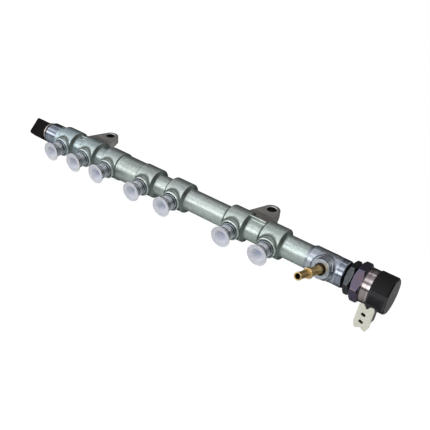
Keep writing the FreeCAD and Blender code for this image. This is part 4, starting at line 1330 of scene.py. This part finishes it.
@dataclass
class ControlValve(Assembly):
    """Nuts, polished yoke, black head, connector shoe and cream cover on the right end.

    Attributes:
        seal: Inner radius, outer radius and edge radius of the seal.
        spacer: The same for the dark spacer between the nuts.
        yoke: Profile of the yoke, from the end of the hexagon nut.
        head: Profile of the head, from the end of the yoke.
        shoe_x: Middle of the connector along the rail.
        shoe_rise: How far its front looks up.
        shoe_front: Distance of its front from the rail's axis.
        shoe: Half width, lower side, upper side and back of the connector.
        tongue: The same for its tongue.
        neck_outline: Outline of the block over the connector, as (up, out, corner radius).
        neck_ends: (across, scale) of its rings.
        cover: Thickness of the cream cover.
        cover_bevel: Size of its bevel.
        cover_half: Right half of its outline, from the top down.
        slots: Middle of each slot in it.
        slot_r: Radius of a slot's ends.
        slot_half: Half of the distance between those ends.
        slot_turn: Slant of the slots.
    """

    seal: Point = (9.0, 10.9, 0.7)
    seal_length: float = 2.7
    spacer: Point = (9.0, 12.3, 0.4)
    spacer_length: float = 1.6
    lock_nut: Hexagon = Hexagon(4.7, 14.4, 1.6, 9.0, -7.0)
    hex_nut: Hexagon = Hexagon(7.0, 16.8, 2.0, 9.0, -7.0)
    yoke: Points = (
        (0.0, 7.05, 0), (0.0, 12.8, 0), (0.85, 12.8, 0.1), (0.85, 14.1, 0.1), (1.25, 14.5, 0.25),
        (7.55, 14.5, 0.25), (7.95, 14.1, 0.1), (7.95, 13.2, 0), (2.65, 13.2, 0), (2.65, 7.05, 0))
    yoke_length: float = 7.95
    head: Points = (
        (0.0, 12.6, 0), (0.0, 15.1, 0.1), (0.3, 15.4, 0.2), (13.4, 15.4, 0.9), (14.7, 14.2, 0.4),
        (14.7, 11.0, 0), (14.7, 0, 0))
    head_length: float = 14.7
    shoe_x: float = 216.0
    shoe_rise: float = math.radians(15.0)
    shoe_front: float = 23.3
    shoe: tuple[float, float, float, float] = (6.0, -17.6, -6.3, 15.4)
    tongue: tuple[float, float, float, float] = (4.0, -22.6, -12.0, 16.6)
    neck_outline: Points = (
        (4.0, 8.0, 0.4), (4.0, 14.9, 1.4), (1.0, 16.8, 1.4), (-8.0, 16.8, 1.0), (-8.0, 8.0, 0.4))
    neck_ends: tuple[tuple[float, float], ...] = (
        (-4.6, 0.95), (-4.2, 0.99), (-3.6, 1.0), (8.2, 1.0), (8.8, 0.99), (9.2, 0.96))
    cover: float = 1.4
    cover_bevel: float = 0.22
    cover_half: tuple[tuple[float, float], ...] = (
        (0.0, -8.0), (2.5, -5.0), (5.0, -4.8), (6.2, -6.6), (6.2, -20.6), (4.6, -24.6), (2.8, -24.6),
        (0.0, -22.9))
    slots: tuple[tuple[float, float], ...] = ((-0.7, -12.8), (-0.7, -18.7))
    slot_r: float = 1.25
    slot_half: float = 0.7
    slot_turn: float = math.radians(-17)

    def shoe_axes(self) -> np.ndarray:
        """Gives the shoe's across, up and out directions as rows."""
        c, s = math.cos(self.shoe_rise), math.sin(self.shoe_rise)
        return np.array([(1.0, 0.0, 0.0), (0.0, s, c), (0.0, -c, s)])

    def to_shoe(self, points: np.ndarray) -> np.ndarray:
        """Moves (across, up, out) points of the shoe's frame to the rail's frame."""
        return self.shoe_x * ALONG + points @ self.shoe_axes()

    def bar(self, half: float, low: float, high: float, back: float) -> np.ndarray:
        """Gives the rings of a rounded bar that ends at the shoe's front.

        Args:
            half: Half width across.
            low: Lower side.
            high: Upper side.
            back: Where it starts.

        Returns:
            Array (rings, points, 3).
        """
        sections = []
        for out, inset in ((back, 0.0), (self.shoe_front - 0.35, 0.0), (self.shoe_front, 0.3)):
            x, bottom, top = half - inset, low + inset, high - inset
            corners = [(x, top, 1.0), (-x, top, 1.0), (-x, bottom, 1.0), (x, bottom, 1.0)]
            sections.append((out, round_closed(corners, 6)))
        return self.to_shoe(stacked(sections))

    def slot_line(self, middle: tuple[float, float]) -> np.ndarray:
        """Gives the outline of a slot in the cover.

        Args:
            middle: Its middle.

        Returns:
            Array (points, 2).
        """
        a = np.radians(np.linspace(-90, 90, 9))
        end = np.column_stack([self.slot_half + self.slot_r * np.cos(a), self.slot_r * np.sin(a)])
        c, s = math.cos(self.slot_turn), math.sin(self.slot_turn)
        return np.concatenate([end, -end]) @ np.array([(c, s), (-s, c)]) + middle

    def cover_plate(self) -> Mesh:
        """Makes the cream plate from a filled flat curve with its two slots.

        Returns:
            The mesh.
        """
        curve = bpy.data.curves.new("cover_outline", "CURVE")
        curve.dimensions = "2D"
        curve.fill_mode = "BOTH"
        curve.extrude = (self.cover / 2 - self.cover_bevel) * MM
        curve.bevel_depth = self.cover_bevel * MM
        curve.bevel_resolution = 2
        curve.offset = -self.cover_bevel * MM
        outline = self.cover_half + tuple((-x, y) for x, y in self.cover_half[-2:0:-1])
        lines = [round_closed([(x, y, 0.6) for x, y in outline]), *map(self.slot_line, self.slots)]
        for points in lines:
            line = curve.splines.new("POLY")
            line.points.add(len(points) - 1)
            for target, (x, y) in zip(line.points, points * MM):
                target.co = (x, y, 0, 1)
            line.use_cyclic_u = True
        mesh = evaluated(placed("cover_curve", curve))
        place = Matrix(self.shoe_axes().T.tolist()).to_4x4()
        middle = self.to_shoe(np.array([0.0, 0.0, self.shoe_front + self.cover / 2]))
        place.translation = Vector(middle + ROW_SHIFT) * MM
        mesh.transform(place)
        return smooth_shaded(mesh, 40.0)

    def build_connector(self) -> None:
        """Adds the connector under the head."""
        front = self.shoe_front - 0.1
        out = self.shoe_axes()[2]
        for name, bar in (("connector_shoe", self.shoe), ("connector_tongue", self.tongue)):
            piece = self.add(name, mesh_of(name, self.bar(*bar), Side.BOTH), SHOE)
            # Painted shade: the fronts of the shoe and tongue are near-black rubber for the dark socket
            # openings.
            self.dress(piece, RUBBER, lambda x, y, z: y * out[1] + z * out[2] > front)
        # The neck's rings run across, so its (x, y, z) are (across, up, out).
        neck = self.to_shoe(soft_bar(round_closed(self.neck_outline, 6), self.neck_ends))
        self.add("connector_neck", mesh_of("connector_neck", neck, Side.BOTH), SHOE)
        self.add("connector_cover", self.cover_plate(), CREAM, "valve_connector_cover")

    def build(self) -> None:
        """Adds the valve's pieces from the rail's end outward."""
        seal_end = RIGHT_END + self.seal_length
        lock_end = seal_end + self.lock_nut.length
        spacer_end = lock_end + self.spacer_length
        nut_end = spacer_end + self.hex_nut.length
        yoke_end = nut_end + self.yoke_length
        face = yoke_end + self.head_length - 0.1
        axis = Axis(np.zeros(3), ALONG)
        self.ring("valve_gasket", self.seal_length, self.seal, RIGHT_END, "valve_seal")
        self.add("lock_nut", self.lock_nut.mesh("lock_nut", axis, seal_end), LOCK, "valve_lock_nut")
        self.ring("nut_spacer", self.spacer_length, self.spacer, lock_end, "valve_spacer")
        self.add("hex_nut", self.hex_nut.mesh("hex_nut", axis, spacer_end), HEX, "valve_hex_nut")
        self.turned("yoke_ring", self.yoke, nut_end, POLISHED, "valve_yoke", segments=128)
        cap = self.turned("valve_cap", self.head, yoke_end, BLACK, "valve_head", segments=128)
        # Painted light: the end face is lighter grey than the rest of the head.
        self.dress(cap, LIT_END_FACE, lambda x, y, z: x > face)
        self.build_connector()
        self.repaint(BLACK, "valve_blade_1", "valve_blade_2")
        inside = ("cartridge", "ball", "armature", "spring", "pole")
        self.repaint(SENSOR_STEEL, *(f"valve_{part}" for part in inside))
        self.repaint(COPPER, "valve_coil")


@dataclass
class Studio:
    """Pale floor, long light panels round the rail and the photograph's camera.

    Attributes:
        floor_level: Height of the floor in metres.
        floor_half: How far it reaches to either side and to the front in metres.
        floor_back: How far it reaches behind the lugs' holes in metres.
        floor_glow: Strength of its plain white.
        floor_shares: Shares of plain white that the camera sees and that reflections show there.
        world_shares: The same for the surroundings.
        room: (angle, colour) stops round the rail, in degrees: 0 is the front horizon, 90 is straight
            up and 180 is the back horizon.
        ends: (from, to, colour) bands of the room toward the valve's end, by how far a direction
            leans along the rail.
        lens: Focal length in millimetres, on a sensor 36 mm wide.
        eye: Place of the camera in millimetres, in the row frame.
        right: The camera's right.
        down: Its down.
        ahead: Its line of sight.
    """

    floor_level: float = -0.0180
    floor_half: float = 1.2
    floor_back: float = 0.06
    floor_glow: float = 1.25
    floor_shares: tuple[float, float] = (0.75, 0.1)
    world_shares: tuple[float, float] = (1.0, 0.04)
    room: Stops = (
        (-180, (0.060, 0.055, 0.055)), (-110, (0.12, 0.11, 0.11)), (-60, (0.30, 0.30, 0.30)),
        (-14, (0.30, 0.30, 0.30)), (-2, (0.10, 0.10, 0.10)), (11, (0.14, 0.14, 0.14)),
        (17, (2.5, 2.5, 2.5)), (33, (2.5, 2.5, 2.5)), (39, (0.50, 0.50, 0.52)),
        (52, (0.42, 0.42, 0.43)), (58, (1.6, 1.6, 1.63)), (70, (1.4, 1.4, 1.43)),
        (76, (0.60, 0.60, 0.62)), (90, (0.44, 0.44, 0.46)), (104, (0.34, 0.34, 0.35)),
        (110, (0.30, 0.30, 0.31)), (112, (1.5, 1.5, 1.55)), (116, (1.5, 1.5, 1.55)),
        (118, (0.24, 0.235, 0.24)), (134, (0.15, 0.145, 0.145)), (150, (0.10, 0.097, 0.095)),
        (180, (0.060, 0.055, 0.055)))
    ends: tuple[tuple[float, float, Colour], ...] = (
        (0.30, 0.46, (0.50, 0.50, 0.50)), (0.60, 0.76, (0.03, 0.03, 0.03)))
    lens: float = 51.018
    eye: Point = (306.7126, -405.3089, 290.0717)
    right: Point = (0.797749, 0.596168, 0.09045)
    down: Point = (0.388244, -0.393059, -0.833529)
    ahead: Point = (-0.461371, 0.700063, -0.545021)

    @staticmethod
    def seen_white(tree: Tree, lit: Socket, white: Socket, shares: tuple[float, float]) -> None:
        """Shows white through the caps, and a share of it to the camera and in reflections.

        Args:
            tree: The node tree to end.
            lit: The shader that lights the object.
            white: The plain white shader.
            shares: Shares of white that the camera sees and that reflections show.
        """
        path = tree.nodes.new("ShaderNodeLightPath").outputs
        total = path["Is Transmission Ray"]
        for ray, share in zip(("Is Camera Ray", "Is Glossy Ray"), shares):
            total = arithmetic(tree, "MULTIPLY_ADD", path[ray], share, total)
        mix = add_node(tree, "ShaderNodeMixShader", {0: total, 1: lit, 2: white})
        out = next(n for n in tree.nodes if n.bl_idname.startswith("ShaderNodeOutput"))
        fill(tree, out, {"Surface": mix.outputs[0]})

    def floor(self) -> None:
        """Adds a pale floor just under the lowest point; it keeps a faint shadow."""
        material = bpy.data.materials.new("floor_white")
        material.use_nodes = True
        tree = material.node_tree
        shader = tree.nodes["Principled BSDF"]
        fill(tree, shader, {"Base Color": (0.78, 0.79, 0.78, 1.0), "Roughness": 0.9})
        glow = add_node(tree, "ShaderNodeEmission", {"Strength": self.floor_glow})
        self.seen_white(tree, shader.outputs[0], glow.outputs[0], self.floor_shares)
        half, back, z = self.floor_half, self.floor_back, self.floor_level
        mesh = bpy.data.meshes.new("floor")
        mesh.from_pydata([(-half, -half, z), (half, -half, z), (half, back, z), (-half, back, z)],
                         [], [(0, 1, 2, 3)])
        mesh.materials.append(material)
        floor = placed("floor", mesh)

    def world(self) -> None:
        """Surrounds the rail with two long light panels in front, a thin one behind and a dark back."""
        world = bpy.data.worlds.new("studio")
        bpy.context.scene.world = world
        world.use_nodes = True
        tree = world.node_tree
        tree.nodes.clear()
        tree.nodes.new("ShaderNodeOutputWorld")
        direction = tree.nodes.new("ShaderNodeTexCoord").outputs["Generated"]
        x, y, z = add_node(tree, "ShaderNodeSeparateXYZ", {"Vector": direction}).outputs
        angle = arithmetic(tree, "ARCTAN2", z, arithmetic(tree, "MULTIPLY", y, -1.0))
        colour = ramp(tree, angle, self.room, math.radians(1.0))
        for low, high, end in self.ends:
            lean = ranged(tree, x, low, high, interpolation_type="SMOOTHSTEP")
            colour = mixed(tree, lean, colour, end)
        lit, white = (add_node(tree, "ShaderNodeBackground", {"Color": shown}).outputs[0]
                      for shown in (colour, (1.0, 1.0, 1.0, 1.0)))
        self.seen_white(tree, lit, white, self.world_shares)

    def camera(self) -> None:
        """Adds the photograph's camera, worked out from the rail's proportions."""
        data = bpy.data.cameras.new("camera")
        data.sensor_width = 36.0
        data.lens = self.lens
        axes = (Vector(self.right), -Vector(self.down), -Vector(self.ahead))
        matrix = Matrix(axes).transposed().to_4x4()
        matrix.translation = Vector(self.eye) * MM
        camera = placed("camera", data)
        camera.matrix_world = matrix
        bpy.context.scene.camera = camera

    def build(self) -> None:
        """Adds floor, surroundings and camera."""
        self.floor()
        self.world()
        self.camera()


def main() -> None:
    logging.basicConfig(level=logging.INFO)
    scene = bpy.context.scene
    scene.view_settings.view_transform = "Standard"
    paint = Paintbox()
    for assembly in (RailForging, TransitCaps, PressureSensor, ReturnFitting, ControlValve):
        assembly(paint).build()
        LOG.info("%s is built", assembly.__name__)
    Studio().build()


if __name__ == "__main__":
    main()
